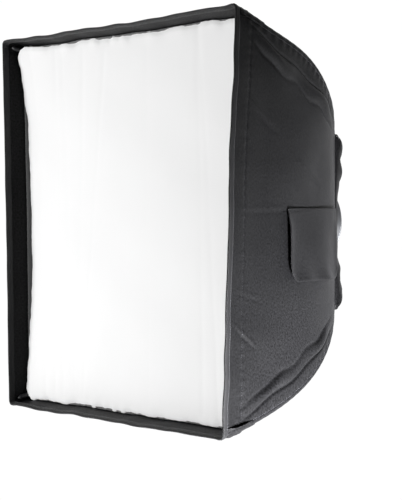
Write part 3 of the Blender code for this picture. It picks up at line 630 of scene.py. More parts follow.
LOOKS = {
    # polyurethane-coated side out: black with a satin shine on its folds
    "oxford": look_oxford("coated_oxford", "#121213", 0.16),
    # the collar: the same weave, painted blacker and with its shine turned down, as painted shade for the
    # shadow it lies in
    "collar": look_oxford("oxford_painted_shade", "#0d0d0e", 0.10),
    "silver": look_silver(),
    # polyester grosgrain: black, with ribs across it that keep it dull
    "binding": look_grosgrain("edge_binding", "#171718", 0.0016, 0.62),
    # elastic webbing: the same ribs, further apart and duller
    "webbing": look_grosgrain("elastic_webbing", "#1d1d1f", 0.0020, 0.7),
    "fuzz": look_fuzz(),
    "diffuser": look_diffuser(),
    "mesh": look_mesh(),
    # die-cast aluminium: fine sand-like skin with a soft grey shine
    "cast": look_solid("cast_aluminium", "#a9abae", 0.42, 900.0, 0.25, metallic=1.0),
    # bright zinc over steel: smooth, slightly cold
    "steel": look_solid("zinc_steel", "#b9babd", 0.28, 400.0, 0.08, metallic=1.0),
    # moulded nylon: black with a fine spark-eroded grain
    "nylon": look_solid("moulded_nylon", "#161618", 0.45, 1500.0, 0.3),
    # pultruded glass fibre: black gel coat with streaks along the rod
    "fibre": look_solid("glass_fibre_rod", "#141416", 0.32, 300.0, 0.15, stretch=(3, 0.3, 3)),
    # polyester sewing thread: a touch lighter than the cloth, with a satin shine
    "thread": look_solid("polyester_thread", "#3a3a3e", 0.5, 2500.0, 0.2),
    # the same thread in white, which hardly shows on the diffuser
    "white_thread": look_solid("white_thread", "#f0f0f0", 0.6, 2500.0, 0.2),
}


# --- outer cloth -----------------------------------------------------------------------------------
def snapped(values, marks):
    """Grid lines, moved so that each mark is one of them."""
    values = np.array(values, float)
    for mark in marks:
        values[np.argmin(np.abs(values - mark))] = mark
    return values


def vent_marks(side):
    """The vent's two edges across a side."""
    down = 1 if side == "right" else -1
    return sorted((-down * VENT_TOP_Z, -down * VENT_BOTTOM_Z))


def side_grid(side, y_from, y_to, rows, columns, lift, packed=0.75):
    """Across positions and Ys of a side's grid, with lines on the vent's edges where there is one."""
    along = np.linspace(along_at(y_from), along_at(y_to), rows)
    q = shares(columns, packed)
    if side in ("right", "left"):
        along = snapped(along, [along_at(VENT_FRONT_Y), along_at(VENT_REAR_Y)])
        q = snapped(q, [mark / HALF for mark in vent_marks(side)])
    y = y_at_along(along)[:, None]
    return spread(q[None, :], y, lift), y


def outside_vent(side, s, y):
    """Which faces of a side's grid lie outside its vent."""
    if side not in ("right", "left"):
        return None
    s_mid = (s[:-1, :-1] + s[1:, 1:]) / 2
    y_mid = (y[:-1] + y[1:]) / 2
    low, high = vent_marks(side)
    return ~((s_mid > low) & (s_mid < high) & (y_mid > VENT_FRONT_Y) & (y_mid < VENT_REAR_Y))


def side_cloth(name, side, y_from, y_to, rows, columns, lift, look, node, thick):
    """One side's panel of cloth, a gore that narrows to the rear, with its vent."""
    s, y = side_grid(side, y_from, y_to, rows, columns, lift)
    obj = patch(name, on_side(side, s, y, lift), side_uv(side, s, y), keep=outside_vent(side, s, y))
    dress(obj, LOOKS[look], "softbox", [node], thick)


LINING_DEPTH = -0.0030
LINING_FRONT_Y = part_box("lining_top")[0].y
for side in SIDES:
    side_cloth(f"panel_{side}", side, FRONT_Y + 0.002, SHELL_REAR_Y, 140, 241, 0.0, "oxford",
               f"shell_{side}", CLOTH)
    side_cloth(f"silver_{side}", side, LINING_FRONT_Y, SHELL_REAR_Y, 60, 91, LINING_DEPTH, "silver",
               f"lining_{side}", 0.0004)


# --- binding round the front hem -------------------------------------------------------------------
BINDING_PROFILE = [       # (cloth from the hem, lift) over the edge, from outside to inside
    (0.0112, 0.0000), (0.0111, 0.0008), (0.0100, 0.0012), (0.0060, 0.0013), (0.0025, 0.0012),
    (0.0010, 0.0009), (0.0001, 0.0001), (-0.0003, -0.0010), (0.0001, -0.0022), (0.0012, -0.0030),
    (0.0060, -0.0033), (0.0105, -0.0032), (0.0112, -0.0028), (0.0112, -0.0018)]
for side in SIDES:
    cloth_run, lifts = (np.array(column)[:, None] for column in zip(*BINDING_PROFILE))
    y = np.where(cloth_run > 0, y_at_along(cloth_run), FRONT_Y + cloth_run)
    s = spread(shares(220, 0.75)[None, :], y, lifts)
    wavy = lifts + 0.0002 * np.sin(s / 0.011) * np.sin(s / 0.037)
    tape_run = run_along(np.array(BINDING_PROFILE))
    uv = np.stack(np.broadcast_arrays(s + SIDES.index(side) * 2.0, tape_run[:, None]), axis=-1)
    tape = patch(f"binding_{side}", on_side(side, s, y, wavy), uv, flip=True)
    dress(tape, LOOKS["binding"], "softbox", [f"hem_binding_{side}"])


# --- patches that close the rods' pockets, folded over the corners ----------------------------------
PATCH_FROM, PATCH_TO = 0.0112, 0.080       # cloth from the hem
PATCH_WIDTH = 0.0135                       # down each side at the hem, then narrower to a point
PATCH_CURL = 0.0042                        # how far its sewn edges stand off
for number, corner in enumerate(CORNERS):
    along = np.linspace(PATCH_FROM, PATCH_TO, 40)[:, None]
    narrowing = ((along - PATCH_FROM) / (PATCH_TO - PATCH_FROM)) ** 3
    width = PATCH_WIDTH * np.sqrt(np.clip(1 - narrowing, 0.01, 1))
    y = y_at_along(along)
    part = np.linspace(0, 1, 16)[None, :]
    curl = hump(1 - part, 0.30) * step(along, PATCH_FROM, 0.03) * (1 - step(along, 0.045, 0.075))
    stand = 0.0004 + PATCH_CURL * curl
    ends, places = [], []
    for side, sign in ((SIDES[number], 1), (SIDES[(number + 1) % 4], -1)):
        s = sign * (mitre(y, stand) - part * width)
        points, uv = on_side(side, s, y, stand), side_uv(side, s, y) + [0.0, 3.0]
        ends.append(points[:, ::-1] if sign > 0 else points[:, 1:])
        places.append(uv[:, ::-1] if sign > 0 else uv[:, 1:])
    cover = patch(f"corner_patch_{corner}", np.concatenate(ends, axis=1), np.concatenate(places, axis=1))
    dress(cover, LOOKS["oxford"], "softbox", thick=0.0009, offset=1.0)


# --- stitching on the outer cloth ------------------------------------------------------------------
HEM_ROW = 0.0090              # through the binding
rows = []
for side in SIDES:
    y = y_at_along(np.linspace(0.013, along_at(SHELL_REAR_Y) - 0.002, 200))
    rows += [row_on(side, sign * (half_width(y) - CORNER_ROW), y) for sign in (-1, 1)]
    for from_hem, lift in ((RECESS_SEAM, 0.0002), (HEM_ROW, 0.0014)):
        y = float(y_at_along(from_hem))
        rows.append(row_on(side, np.linspace(-1, 1, 220) * (mitre(y) - 0.004), y, lift))
stitches("panel_stitches", rows, "softbox")


# --- hook-and-loop tapes ---------------------------------------------------------------------------
TAPE_LOW, TAPE_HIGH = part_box("hook_tape_top")
for side in SIDES:
    for kind, body, lift in (("loop", "softbox", -0.0026), ("hook", "front_diffuser", -0.0040)):
        y = y_at_along(np.linspace(along_at(TAPE_LOW.y), along_at(TAPE_HIGH.y), 8))[:, None]
        s = np.linspace(-TAPE_HIGH.x, TAPE_HIGH.x, 120)[None, :]
        tape = patch(f"{kind}_{side}", on_side(side, s, y, lift), side_uv(side, s, y))
        dress(tape, LOOKS["fuzz"], body, [f"{kind}_tape_{side}"], 0.0009)


# --- front diffuser --------------------------------------------------------------------------------
DIFFUSER_DEPTH = -0.0052      # its edge off the outer cloth
DIFFUSER_CLOTH = 0.0004
SKIRT = 0.026                 # turned back at the edge, with the hook tape on it
DRAWN_IN = 0.007              # the sides' mid-height, behind the plane of the corners
CORNER_PULL = 0.003           # every corner is pulled forward by its pocket,
TOP_LEFT_PULL, BOTTOM_LEFT_PULL = 0.015, 0.007     # these two by more
ENDS_PACKED = 0.6             # how much closer the grid's lines stand at its edges
DIFFUSER_LINES = 170


def filled(top, right, bottom, left):
    """A grid that fills four joined lines: each point is blended from the lines across and down it."""
    bottom, right = bottom[::-1], right[::-1]
    a, b = (run_along(line) / run_along(line)[-1] for line in (top, left))
    a, b = a[:, None, None], b[None, :, None]
    across = (1 - a) * left[None] + a * right[None]
    down = (1 - b) * bottom[:, None] + b * top[:, None]
    corners = ((1 - a) * (1 - b) * bottom[0] + a * (1 - b) * bottom[-1]
               + (1 - a) * b * top[0] + a * b * top[-1])
    return across + down - corners


def outline_of(points):
    """The edge of a grid as one closed line, from its top left corner on, and each point's place along it."""
    line = np.vstack([points[:-1, -1], points[-1, ::-1][:-1], points[::-1, 0][:-1], points[0][:-1]])
    return line, run_along(line)


def row_inside(points, lines):
    """Points and normals of a sewn row this many lines in from a flat grid's edge."""
    row = outline_of(points[lines:-lines, lines:-lines])[0] - [0, 0.0002, 0]
    return row, np.broadcast_to([0.0, -1.0, 0.0], row.shape)


def diffuser_dish(x, z):
    """How far behind its plane the diffuser lies.

    Its sides are drawn in at mid-height, its corners are pulled forward, and it has faint creases
    that lean a little from upright, and slow waves.
    """
    u, v = x / HALF, z / HALF
    sides = DRAWN_IN * np.abs(u) ** 3 * np.clip(1 - v ** 2, 0, 1) ** 1.5
    left, up = (1 - u) / 2, (1 + v) / 2
    pull = CORNER_PULL + TOP_LEFT_PULL * left * up + BOTTOM_LEFT_PULL * left * (1 - up)
    ends = -np.abs(u * v) ** 4 * pull
    folds = 0
    rng = np.random.default_rng(8)
    for _ in range(9):
        across, lean = rng.uniform(-0.3, 0.3), rng.uniform(-0.12, 0.12)
        width, depth = rng.uniform(0.004, 0.010), rng.uniform(0.0004, 0.0012)
        folds = folds + depth * hump(x - across - lean * z, width) * (0.4 + 0.6 * np.abs(v))
    return sides + ends + folds + 0.0012 * swell(x, z, 77, 0.40, 0.10)


def ruffle(run):
    """Puckers of the elastic edge along the diffuser's outline."""
    return (np.sin(run / 0.0062 + 2.0 * np.sin(run / 0.041)) * (0.6 + 0.4 * np.sin(run / 0.083))
            + 0.8 * np.sin(run / 0.0145 + 1.3))


def edge_line(side, y, count, inward=0.0):
    """The diffuser's edge along one side, drawn in at mid-height where the sides' cloth is hollow."""
    q = shares(count, ENDS_PACKED)
    lift = DIFFUSER_DEPTH - inward
    radius = DIFFUSER_R - DIFFUSER_DEPTH
    draw = 0.0020 * (1 - q ** 2) ** 1.5 if side in ("right", "left") else 0
    return on_side(side, q * mitre(y, lift, radius), y, lift - draw, radius=radius)


shape = filled(*(edge_line(side, DIFFUSER_Y, DIFFUSER_LINES) for side in SIDES))
flat_uv = shape[..., [0, 2]].copy()
shape[..., 1] = DIFFUSER_Y + diffuser_dish(shape[..., 0], shape[..., 2])
q = shares(DIFFUSER_LINES, ENDS_PACKED)
inset = (1 - np.abs(q)) * HALF
near_side, near_end = hump(inset, 0.013)[:, None], hump(inset, 0.013)[None, :]
side_wave, end_wave = ruffle(flat_uv[..., 1] + 3), ruffle(flat_uv[..., 0] + 7)
turned_edge = np.maximum(hump(inset, 0.005)[:, None], hump(inset, 0.005)[None, :])
shape[..., 0] -= 0.0004 * side_wave * near_side * np.sign(q)[:, None]
shape[..., 2] -= 0.0011 * end_wave * near_end * np.sign(q)[None, :]
shape[..., 1] += 0.0005 * side_wave * near_side + 0.0013 * end_wave * near_end
shape[..., 1] += 0.0016 * turned_edge
diffuser = patch("diffuser", shape, flat_uv)
dress(diffuser, LOOKS["diffuser"], "front_diffuser", ["front_diffuser"], DIFFUSER_CLOTH)
rim, run = outline_of(shape)
back_lines = (edge_line(side, DIFFUSER_Y + SKIRT, DIFFUSER_LINES, -0.0006) for side in SIDES)
back = outline_of(filled(*back_lines))[0]
share = np.linspace(0, 1, 14)[:, None, None]
turned = 1 - (1 - share) ** 3
skirt_shape = np.where([True, False, True], rim * (1 - turned) + back * turned,
                       rim * (1 - share) + back * share)
skirt_uv = np.stack(np.broadcast_arrays(run, SKIRT * share[..., 0]), axis=-1)
skirt = patch("diffuser_skirt", skirt_shape, skirt_uv, flip=True, round_columns=True)
dress(skirt, LOOKS["diffuser"], "front_diffuser", thick=DIFFUSER_CLOTH)
stitches("diffuser_stitches", [row_inside(shape, 8)], "front_diffuser", 0.0050, 0.00030, "white_thread")


# --- inner baffle and its straps -------------------------------------------------------------------
BAFFLE_HALF = BAFFLE_HIGH.x
BAFFLE_Y = (BAFFLE_LOW.y + BAFFLE_HIGH.y) / 2
BAFFLE_R = 0.020              # its corners
BAFFLE_DRAW = 0.010           # how far its edges are drawn in between corners
BAFFLE_CORNER = BAFFLE_HALF - (1 - 1 / ROOT2) * BAFFLE_R


def baffle_line(side, count=90):
    """One side of the baffle: half of each round corner, and the edge between them drawn in a little."""
    q = shares(count, 0.5)
    corner = np.clip(BAFFLE_HALF - np.abs(q * BAFFLE_CORNER), 0, BAFFLE_R)
    out = BAFFLE_HALF - BAFFLE_R + np.sqrt(BAFFLE_R ** 2 - (BAFFLE_R - corner) ** 2)
    return settle(turn_to(side, q * BAFFLE_CORNER, BAFFLE_Y, out - BAFFLE_DRAW * (1 - q ** 2)))


shape = filled(*(baffle_line(side) for side in SIDES))
flat_uv = shape[..., [0, 2]].copy()
shape[..., 1] = BAFFLE_Y + 0.003 * swell(shape[..., 0], shape[..., 2], 5, 0.30, 0.09)
baffle = patch("baffle", shape, flat_uv)
dress(baffle, LOOKS["diffuser"], "softbox", ["inner_baffle"], DIFFUSER_CLOTH)
stitches("baffle_stitches", [row_inside(shape, 3)], "softbox", 0.0050)


def rod_point(corner, rho, y):
    """World points on the plane of a corner's rod, racked with the frame."""
    sx, sz = CORNERS[corner]
    rho, y = np.broadcast_arrays(np.asarray(rho, float), np.asarray(y, float))
    return settle(np.stack([sx * rho / ROOT2, y, sz * rho / ROOT2], axis=-1))


def rod_run(corner, arc_from, arc_to, count):
    """Points along a rod's centre between two arc lengths from its socket."""
    arc = np.linspace(arc_from, arc_to, count)
    return rod_point(corner, np.interp(arc, BOW_ARC, BOW[:, 0]), np.interp(arc, BOW_ARC, BOW[:, 1]))


def off_plane(corner):
    """Unit vector across the plane of a corner's rod."""
    sx, sz = CORNERS[corner]
    return np.array([-sz, 0, sx]) / ROOT2


def arc_at(y):
    """Arc length from the socket where the rod reaches Y."""
    return float(np.interp(y, BOW[::-1, 1], BOW_ARC[::-1]))


STRAP_WIDTH = 0.016
STRAP_LAP = 0.012             # sewn over the baffle's corner
SLEEVE_R = 0.0040
for corner in CORNERS:
    arc = arc_at(BAFFLE_Y)
    start = rod_point(corner, BAFFLE_CORNER * ROOT2 - STRAP_LAP, BAFFLE_Y)
    middle = rod_run(corner, arc, arc + 0.001, 1)[0]
    away = unit(middle - start)
    across = off_plane(corner)
    run = np.linspace(0, np.linalg.norm(middle - start) - SLEEVE_R, 30)
    wide = np.linspace(-STRAP_WIDTH / 2, STRAP_WIDTH / 2, 9)
    pinch = 1 - 0.18 * hump(run - run[-1], 0.012)
    flat = start + away * run[:, None, None] + across * (wide[None, :] * pinch[:, None])[..., None]
    uv = np.stack(np.broadcast_arrays(run[:, None], wide[None, :]), axis=-1)
    strap = patch(f"strap_{corner}", flat, uv)
    dress(strap, LOOKS["webbing"], "softbox", [f"baffle_strap_{corner}"], 0.0010, offset=0.0)
    sleeve = tube(f"sleeve_{corner}", rod_run(corner, arc - 0.008, arc + 0.008, 10),
                  SLEEVE_R * np.array([0.75, 0.96, 1, 1, 1, 1, 1, 1, 0.96, 0.75]), across)
    dress(sleeve, LOOKS["nylon"], "softbox")


# --- rods, ferrules, tips and pockets --------------------------------------------------------------
TIP_END = arc_at(FRONT_Y + 0.014)
TIP_LENGTH = 0.014
TIP_R = 0.0034
TIP_SHAPE = [             # (share of the length, share of the radius)
    (0, 0.3), (0.02, 0.85), (0.12, 1), (0.6, 1), (0.8, 0.93), (0.92, 0.72), (0.98, 0.42), (1, 0.02)]
ROD_START = 0.0006            # off the socket's floor
FERRULE_END = 0.0280
FERRULE_R, FERRULE_GROOVE_R = 0.0036, 0.0033
POCKET_R = 0.0054
for corner in CORNERS:
    across = off_plane(corner)
    path = rod_run(corner, ROD_START, TIP_END - TIP_LENGTH + 0.002, 90)
    rod = tube(f"bowed_{corner}", path, ROD_R, across, 24)
    dress(rod, LOOKS["fibre"], "softbox", [f"rod_{corner}"])
    ferrule_r = np.full(24, FERRULE_R)
    ferrule_r[[0, -1]] = ROD_R
    ferrule_r[[1, 15, 16, -2]] = FERRULE_GROOVE_R
    ferrule = tube(f"ferrule_{corner}", rod_run(corner, ROD_START, FERRULE_END, 24), ferrule_r, across, 28)
    dress(ferrule, LOOKS["steel"], "softbox", [f"rod_ferrule_{corner}"])
    share, radius = (np.array(column) for column in zip(*TIP_SHAPE))
    arcs = TIP_END - TIP_LENGTH + share * TIP_LENGTH
    path = rod_point(corner, np.interp(arcs, BOW_ARC, BOW[:, 0]), np.interp(arcs, BOW_ARC, BOW[:, 1]))
    tip = tube(f"tip_{corner}", path, TIP_R * radius, across, 24)
    dress(tip, LOOKS["nylon"], "softbox", [f"rod_tip_{corner}"])
    pocket_r = POCKET_R * np.array([0.86, 0.97, *([1.0] * 14), 0.97, 0.85, 0.55, 0.02])
    path = rod_run(corner, TIP_END - 0.048, TIP_END + 0.0015, 20)
    pocket = tube(f"pocket_{corner}", path, pocket_r, across)
    dress(pocket, LOOKS["nylon"], "softbox", [f"corner_pocket_{corner}"])


# --- collar flaps ----------------------------------------------------------------------------------
COLLAR_REAR_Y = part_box("collar_flap_right")[1].y - 0.0005
NOTCH_HALF = 0.0145           # the notch that clears the lock knob: half its width
NOTCH_REACH = 0.099           # and how far from the axis it ends
COLLAR_PUFF, COLLAR_GATHER = 0.0150, 0.0022


def collar_lift(side, q, t):
    """How far a flap stands off, at a share q of its width and t of its length.

    It is sewn down at its hinge, puffed out most near its ends, folded, and gathered at its inner
    edge.
    """
    rng = np.random.default_rng(50 + SIDES.index(side))
    puff = COLLAR_PUFF * np.sin(math.pi * np.clip(t, 0, 1) ** 0.6) * (0.25 + 0.75 * np.abs(q) ** 1.6)
    folds = 0
    for _ in range(7):
        place, width = rng.uniform(-0.95, 0.95), rng.uniform(0.05, 0.12)
        lean, height = rng.uniform(-0.3, 0.3), rng.uniform(-0.004, 0.005)
        folds = folds + height * hump(q - place - lean * t, width)
    gather = COLLAR_GATHER * np.sin(q * 23 + 2 * np.sin(q * 5)) * step(t, 0.55, 1.0)
    return puff + (folds * np.sin(math.pi * t * 0.9) + gather) * step(t, 0, 0.35)


def edging(name, points, normals, body, radius=0.0011):
    """A round bound edge along a line on the cloth."""
    obj = tube(name, points, radius, normals, 10)
    return dress(obj, LOOKS["nylon"], body)


for side in SIDES:
    along = np.linspace(along_at(SHELL_REAR_Y) + 0.0006, along_at(COLLAR_REAR_Y), 46)
    along = snapped(along, [along_at(np.interp(NOTCH_REACH, HALF_TABLE[::-1], Y_TABLE[::-1]))])
    q = snapped(shares(121, 0.5), [-NOTCH_HALF / HALF, NOTCH_HALF / HALF])
    t = ((along - along[0]) / (along[-1] - along[0]))[:, None]
    y = y_at_along(along)[:, None]
    s = spread(q[None, :], y, core=NOTCH_HALF)
    lift = collar_lift(side, q[None, :], t)
    points = on_side(side, s, y, lift, 1 - 0.6 * t)
    normals = unit(on_side(side, s, y, lift + 0.001, 1 - 0.6 * t) - points)
    last, left = len(along) - 1, int(np.argmin(np.abs(q + NOTCH_HALF / HALF)))
    right = len(q) - 1 - left
    head = int(np.argmin(np.abs(half_width(y[:, 0]) - NOTCH_REACH)))
    walk = [(i, 0) for i in range(last)] + [(last, j) for j in range(left)]
    if side == "bottom":
        walk += [(i, left) for i in range(last, head, -1)] + [(head, j) for j in range(left, right)]
        walk += [(i, right) for i in range(head, last)]
        keep = ~((np.abs((s[:-1, :-1] + s[1:, 1:]) / 2) < NOTCH_HALF) & (np.arange(last) >= head)[:, None])
    else:
        walk += [(last, j) for j in range(left, right)]
        keep = None
    walk += [(last, j) for j in range(right, len(q) - 1)] + [(i, len(q) - 1) for i in range(last, -1, -1)]
    rows, columns = (np.array(numbers) for numbers in zip(*walk))
    body = f"collar_flap_{side}"
    flap = patch(f"collar_{side}", points, side_uv(side, s, y), keep=keep)
    # the flaps take the darker copy of the oxford: painted shade
    dress(flap, LOOKS["collar"], body, [body], CLOTH)
    edging(f"collar_edge_{side}", points[rows, columns], normals[rows, columns], body)


# --- vents and their flaps -------------------------------------------------------------------------
FLAP_CORNER_R = 0.030
FLAP_OFF = 0.0018             # flap's outer face off the shell at its hinge
FLAP_HEM = 0.0070
FLAP_DROOP = 0.0030           # how far its lower edge hangs off the side
FLAP_CURL, FRONT_CURL = 0.0016, 0.0028         # of its free edges, and more at the front one
FLAP_ROWS, FLAP_COLUMNS = 66, 56


def vent_flap(side):
    """A flap sewn along its top edge: round lower corners, a turned hem, and free edges that curl out."""
    down = 1 if side == "right" else -1
    ends = along_at(FLAP_LOW.y), along_at(FLAP_HIGH.y)
    along = np.linspace(*ends, FLAP_ROWS)[:, None]
    near = np.clip(np.minimum(along - ends[0], ends[1] - along), 0, FLAP_CORNER_R)
    rise = FLAP_CORNER_R - np.sqrt(FLAP_CORNER_R ** 2 - (FLAP_CORNER_R - near) ** 2)
    fall = np.linspace(0, 1, FLAP_COLUMNS)[None, :]
    z = FLAP_HIGH.z + fall * (FLAP_LOW.z + rise - FLAP_HIGH.z)
    y = y_at_along(along)
    edge = np.minimum(np.minimum(along - ends[0], ends[1] - along), z - (FLAP_LOW.z + rise))
    drop = (FLAP_HIGH.z - z) / (FLAP_HIGH.z - FLAP_LOW.z)
    lift = FLAP_OFF + CLOTH + FLAP_DROOP * drop ** 2 + FLAP_CURL * hump(edge, 0.012) * step(drop, 0.05, 0.3)
    lift = lift + FRONT_CURL * hump(along - ends[0], 0.016) * step(drop, 0.0, 0.25)
    lift = lift + 0.0014 * np.sin(along / 0.014 + z / 0.03) * drop * hump(edge, 0.030)
    hem = 0.0006 * (1 - step(edge, FLAP_HEM - 0.0015, FLAP_HEM + 0.0008))
    s = -down * z
    y, s = np.broadcast_arrays(y, s)
    points = on_side(side, s, y, lift + hem)
    body = f"vent_flap_{side}"
    flap = patch(f"flap_{side}", points, side_uv(side, s, y) + [0.0, 5.0], flip=side == "right")
    dress(flap, LOOKS["oxford"], body, [body], CLOTH)
    normals = unit(on_side(side, s, y, lift + hem + 0.001) - points)
    row = int(np.argmin(np.abs(along[:, 0] - ends[0] - FLAP_HEM)))
    last, lowest = FLAP_ROWS - 1, FLAP_COLUMNS - 5
    walk = [(row, j) for j in range(3, lowest)] + [(i, lowest) for i in range(row + 1, last - row)]
    walk += [(last - row, j) for j in range(lowest - 1, 2, -1)]
    rows, columns = (np.array(numbers) for numbers in zip(*walk))
    sewn = points[rows, columns] + 0.0002 * normals[rows, columns], normals[rows, columns]
    stitches(f"flap_stitches_{side}", [sewn], body)
    top = [row_on(side, s[2:-2, 0] + down * below, y[2:-2, 0], FLAP_OFF + CLOTH + 0.0002)
           for below in (0.004, 0.010)]
    stitches(f"flap_top_stitches_{side}", top, body)


FRAME_POINTS = 29             # along each edge of the tape frame
FRAME_PROFILE = [             # (outward from the vent's edge, lift)
    (-0.0030, -0.0014), (-0.0030, 0.0001), (-0.0020, 0.0008), (0.0040, 0.0008), (0.0050, 0.0001)]


def grown(values, low, high, by):
    """Places round a rectangle, those on its low and high edges moved outwards."""
    off = values - (low + high) / 2
    return values + by * np.sign(off) * (np.abs(off) > (high - low) / 2 - 1e-6)


def vent_mesh(side):
    """Knitted mesh sewn into the vent behind a flat frame of tape."""
    low, high = vent_marks(side)
    front, rear = along_at(VENT_FRONT_Y), along_at(VENT_REAR_Y)
    y = y_at_along(np.linspace(front - 0.004, rear + 0.004, 40))[:, None]
    s = np.linspace(low - 0.004, high + 0.004, 32)[None, :]
    mesh = patch(f"mesh_{side}", on_side(side, s, y, -0.0018), side_uv(side, s, y))
    dress(mesh, LOOKS["mesh"], "softbox", [f"vent_mesh_{side}"])
    t = np.linspace(0, 1, FRAME_POINTS + 1)[:-1]
    still = np.ones(FRAME_POINTS)
    ring_s = np.concatenate([low + (high - low) * t, high * still, high - (high - low) * t, low * still])
    ring_a = np.concatenate([front * still, front + (rear - front) * t, rear * still,
                             rear - (rear - front) * t])
    rows = [on_side(side, grown(ring_s, low, high, by), y_at_along(grown(ring_a, front, rear, by)), lift)
            for by, lift in FRAME_PROFILE]
    uv = np.stack(np.broadcast_arrays(np.arange(4 * FRAME_POINTS)[None, :] * 0.0035,
                                      np.arange(len(FRAME_PROFILE))[:, None] * 0.003), axis=-1)
    tape = patch(f"vent_frame_{side}", np.array(rows), uv, round_columns=True, flip=True)
    dress(tape, LOOKS["webbing"], "softbox")


for side in ("right", "left"):
    vent_flap(side)
    vent_mesh(side)


# --- speed ring --------------------------------------------------------------------------------------
BEVEL = 0.0008
SHARP = math.radians(28)      # edges steeper than this stay crisp
RING_FRONT_Y = RING_LOW.y - 0.0283
FLANGE_FRONT_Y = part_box("mount_insert")[0].y
SEAT_R = RING_R - 0.0132
SEAT_FLOOR_Y = FLANGE_FRONT_Y - 0.0003
RING_BORE_R = SEAT_R - 0.0063


def chamfered(corners, bevel=BEVEL):
    """A closed profile with each corner cut and given a middle point, so that it catches the light."""
    corners = np.array(corners, float)
    before = unit(np.roll(corners, 1, axis=0) - corners)
    after = unit(np.roll(corners, -1, axis=0) - corners)
    middle = corners + (before + after) * bevel * 0.30
    return np.stack([corners + before * bevel, middle, corners + after * bevel], axis=1).reshape(-1, 2)


profile = chamfered([(RING_BORE_R, RING_FRONT_Y), (RING_R, RING_FRONT_Y), (RING_R, RING_REAR_Y),
                     (SEAT_R, RING_REAR_Y), (SEAT_R, SEAT_FLOOR_Y), (RING_BORE_R, SEAT_FLOOR_Y)])
ring = lathe("ring", profile[:, 0], profile[:, 1], 192)
dress(ring, LOOKS["cast"], "softbox", ["speed_ring"])
SOCKET_PROFILE = [            # (along the rod, radius): up the outside of the boss, then down its bore
    (-0.0065, 0.0082), (0.0150, 0.0076), (0.0166, 0.0075), (0.0176, 0.0072), (0.0180, 0.0066),
    (0.0180, 0.0044), (0.0178, 0.0040), (0.0120, 0.0040)]
arcs, boss_r = (np.array(column) for column in zip(*SOCKET_PROFILE))
places = BOW[0] + arcs[:, None] * unit(BOW[1] - BOW[0])
for corner in CORNERS:
    path = rod_point(corner, places[:, 0], places[:, 1])
    boss = tube(f"socket_{corner}", path, boss_r, off_plane(corner), 40)
    boss.data.set_sharp_from_angle(angle=SHARP)
    dress(boss, LOOKS["cast"], "softbox")

RETAINER_BORE_R = SEAT_R - 0.0058
profile = chamfered([(RETAINER_BORE_R, RING_LOW.y), (RING_HIGH.x, RING_LOW.y),
                     (RING_HIGH.x, RING_HIGH.y), (RETAINER_BORE_R, RING_HIGH.y)], BEVEL / 2)
retainer = lathe("retainer", profile[:, 0], profile[:, 1], 192)
dress(retainer, LOOKS["cast"], "softbox", ["retaining_ring"])


def hexagon(count, across_flats):
    """Radius of a hexagon round its axis."""
    angles = np.linspace(0, math.tau, count, endpoint=False)
    return across_flats / 2 / np.cos(np.mod(angles, math.pi / 3) - math.pi / 6)


for number in range(1, 5):
    low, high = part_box(f"retaining_screw_{number}")
    centre, top = (low + high) / 2, high.y
    key = hexagon(48, 0.0024)
    radii, ys = zip((1e-5, low.y), (0.0013, low.y), (0.0015, low.y + 0.0003), (0.0015, top - 0.0019),
                    (0.0028, top - 0.0018), (0.0028, top - 0.0008), (0.0026, top - 0.0003), (0.0021, top),
                    (hexagon(48, 0.0026), top), (key, top - 0.0002), (key, top - 0.0011),
                    (1e-5, top - 0.0013))
    screw = lathe(f"screw_{number}", radii, ys, 48, ((centre.x, 0, centre.z), np.eye(3)), closed=False)
    dress(screw, LOOKS["steel"], "softbox", [f"retaining_screw_{number}"])


# --- lamp insert: bored flange and collar with three bayonet lugs --------------------------------------
INSERT_R = 0.0415             # its bore
FLANGE_R = 0.0620
COLLAR_R, LUG_R = 0.0488, 0.0515
LUG_HALF_ARC = 20             # degrees
CHAMFER = 0.0004
around = 360
angles = np.degrees(np.linspace(0, math.tau, around, endpoint=False))
to_lug = np.abs(np.mod(angles - 90 + 60, 120) - 60)
lug = np.where(to_lug <= LUG_HALF_ARC, LUG_R, COLLAR_R)
profile = [(INSERT_R, FLANGE_FRONT_Y + CHAMFER), (INSERT_R + CHAMFER, FLANGE_FRONT_Y),
           (FLANGE_R - CHAMFER, FLANGE_FRONT_Y), (FLANGE_R, FLANGE_FRONT_Y + CHAMFER),
           (FLANGE_R, -0.0107), (FLANGE_R - CHAMFER, -0.0103), (COLLAR_R, -0.0103), (COLLAR_R, -0.0036),
           (lug - CHAMFER, -0.0035), (lug, -0.0032), (lug, -CHAMFER), (lug - CHAMFER, 0.0),
           (INSERT_R + CHAMFER, 0.0), (INSERT_R, -CHAMFER)]
radii, ys = zip(*profile)
insert = lathe("insert", radii, ys, around)
dress(insert, LOOKS["cast"], "mount", ["mount_insert"])


# --- lock knob and its screw, below the ring ---------------------------------------------------------
LOCK_Y = (KNOB_LOW.y + KNOB_HIGH.y) / 2
DOWN = np.array([[1.0, 0, 0], [0, 0, 1], [0, -1, 0]])       # turns +Y to -Z
KNOB_R = 0.0084
FLUTE_DEPTH, FLUTES = 0.0016, 8
THREAD_R, THREAD_DEPTH, THREAD_PITCH = 0.0022, 0.00028, 0.0008
knob_from, knob_to = -KNOB_HIGH.z, -KNOB_LOW.z
length = knob_to - knob_from
around = 192
angles = np.linspace(0, math.tau, around, endpoint=False)
flutes = FLUTE_DEPTH * np.clip(np.cos(FLUTES * angles), 0, 1) ** 1.5
starts = step(np.linspace(0, 1, 4), 0, 1)
radii, heights = zip((1e-5, 0), (0.0062, 0), (0.0067, 0.0004), (0.0080, 0.0018),
                     *zip([KNOB_R - flutes * share for share in starts], (0.0026, 0.0034, 0.0040, 0.0046)),
                     (KNOB_R - flutes, length - 0.0022), (0.0082 - flutes * 0.95, length - 0.0010),
                     (0.0074 - flutes * 0.7, length - 0.0003), (0.0062, length), (0.0056, length - 0.0004),
                     (1e-5, length - 0.0005))
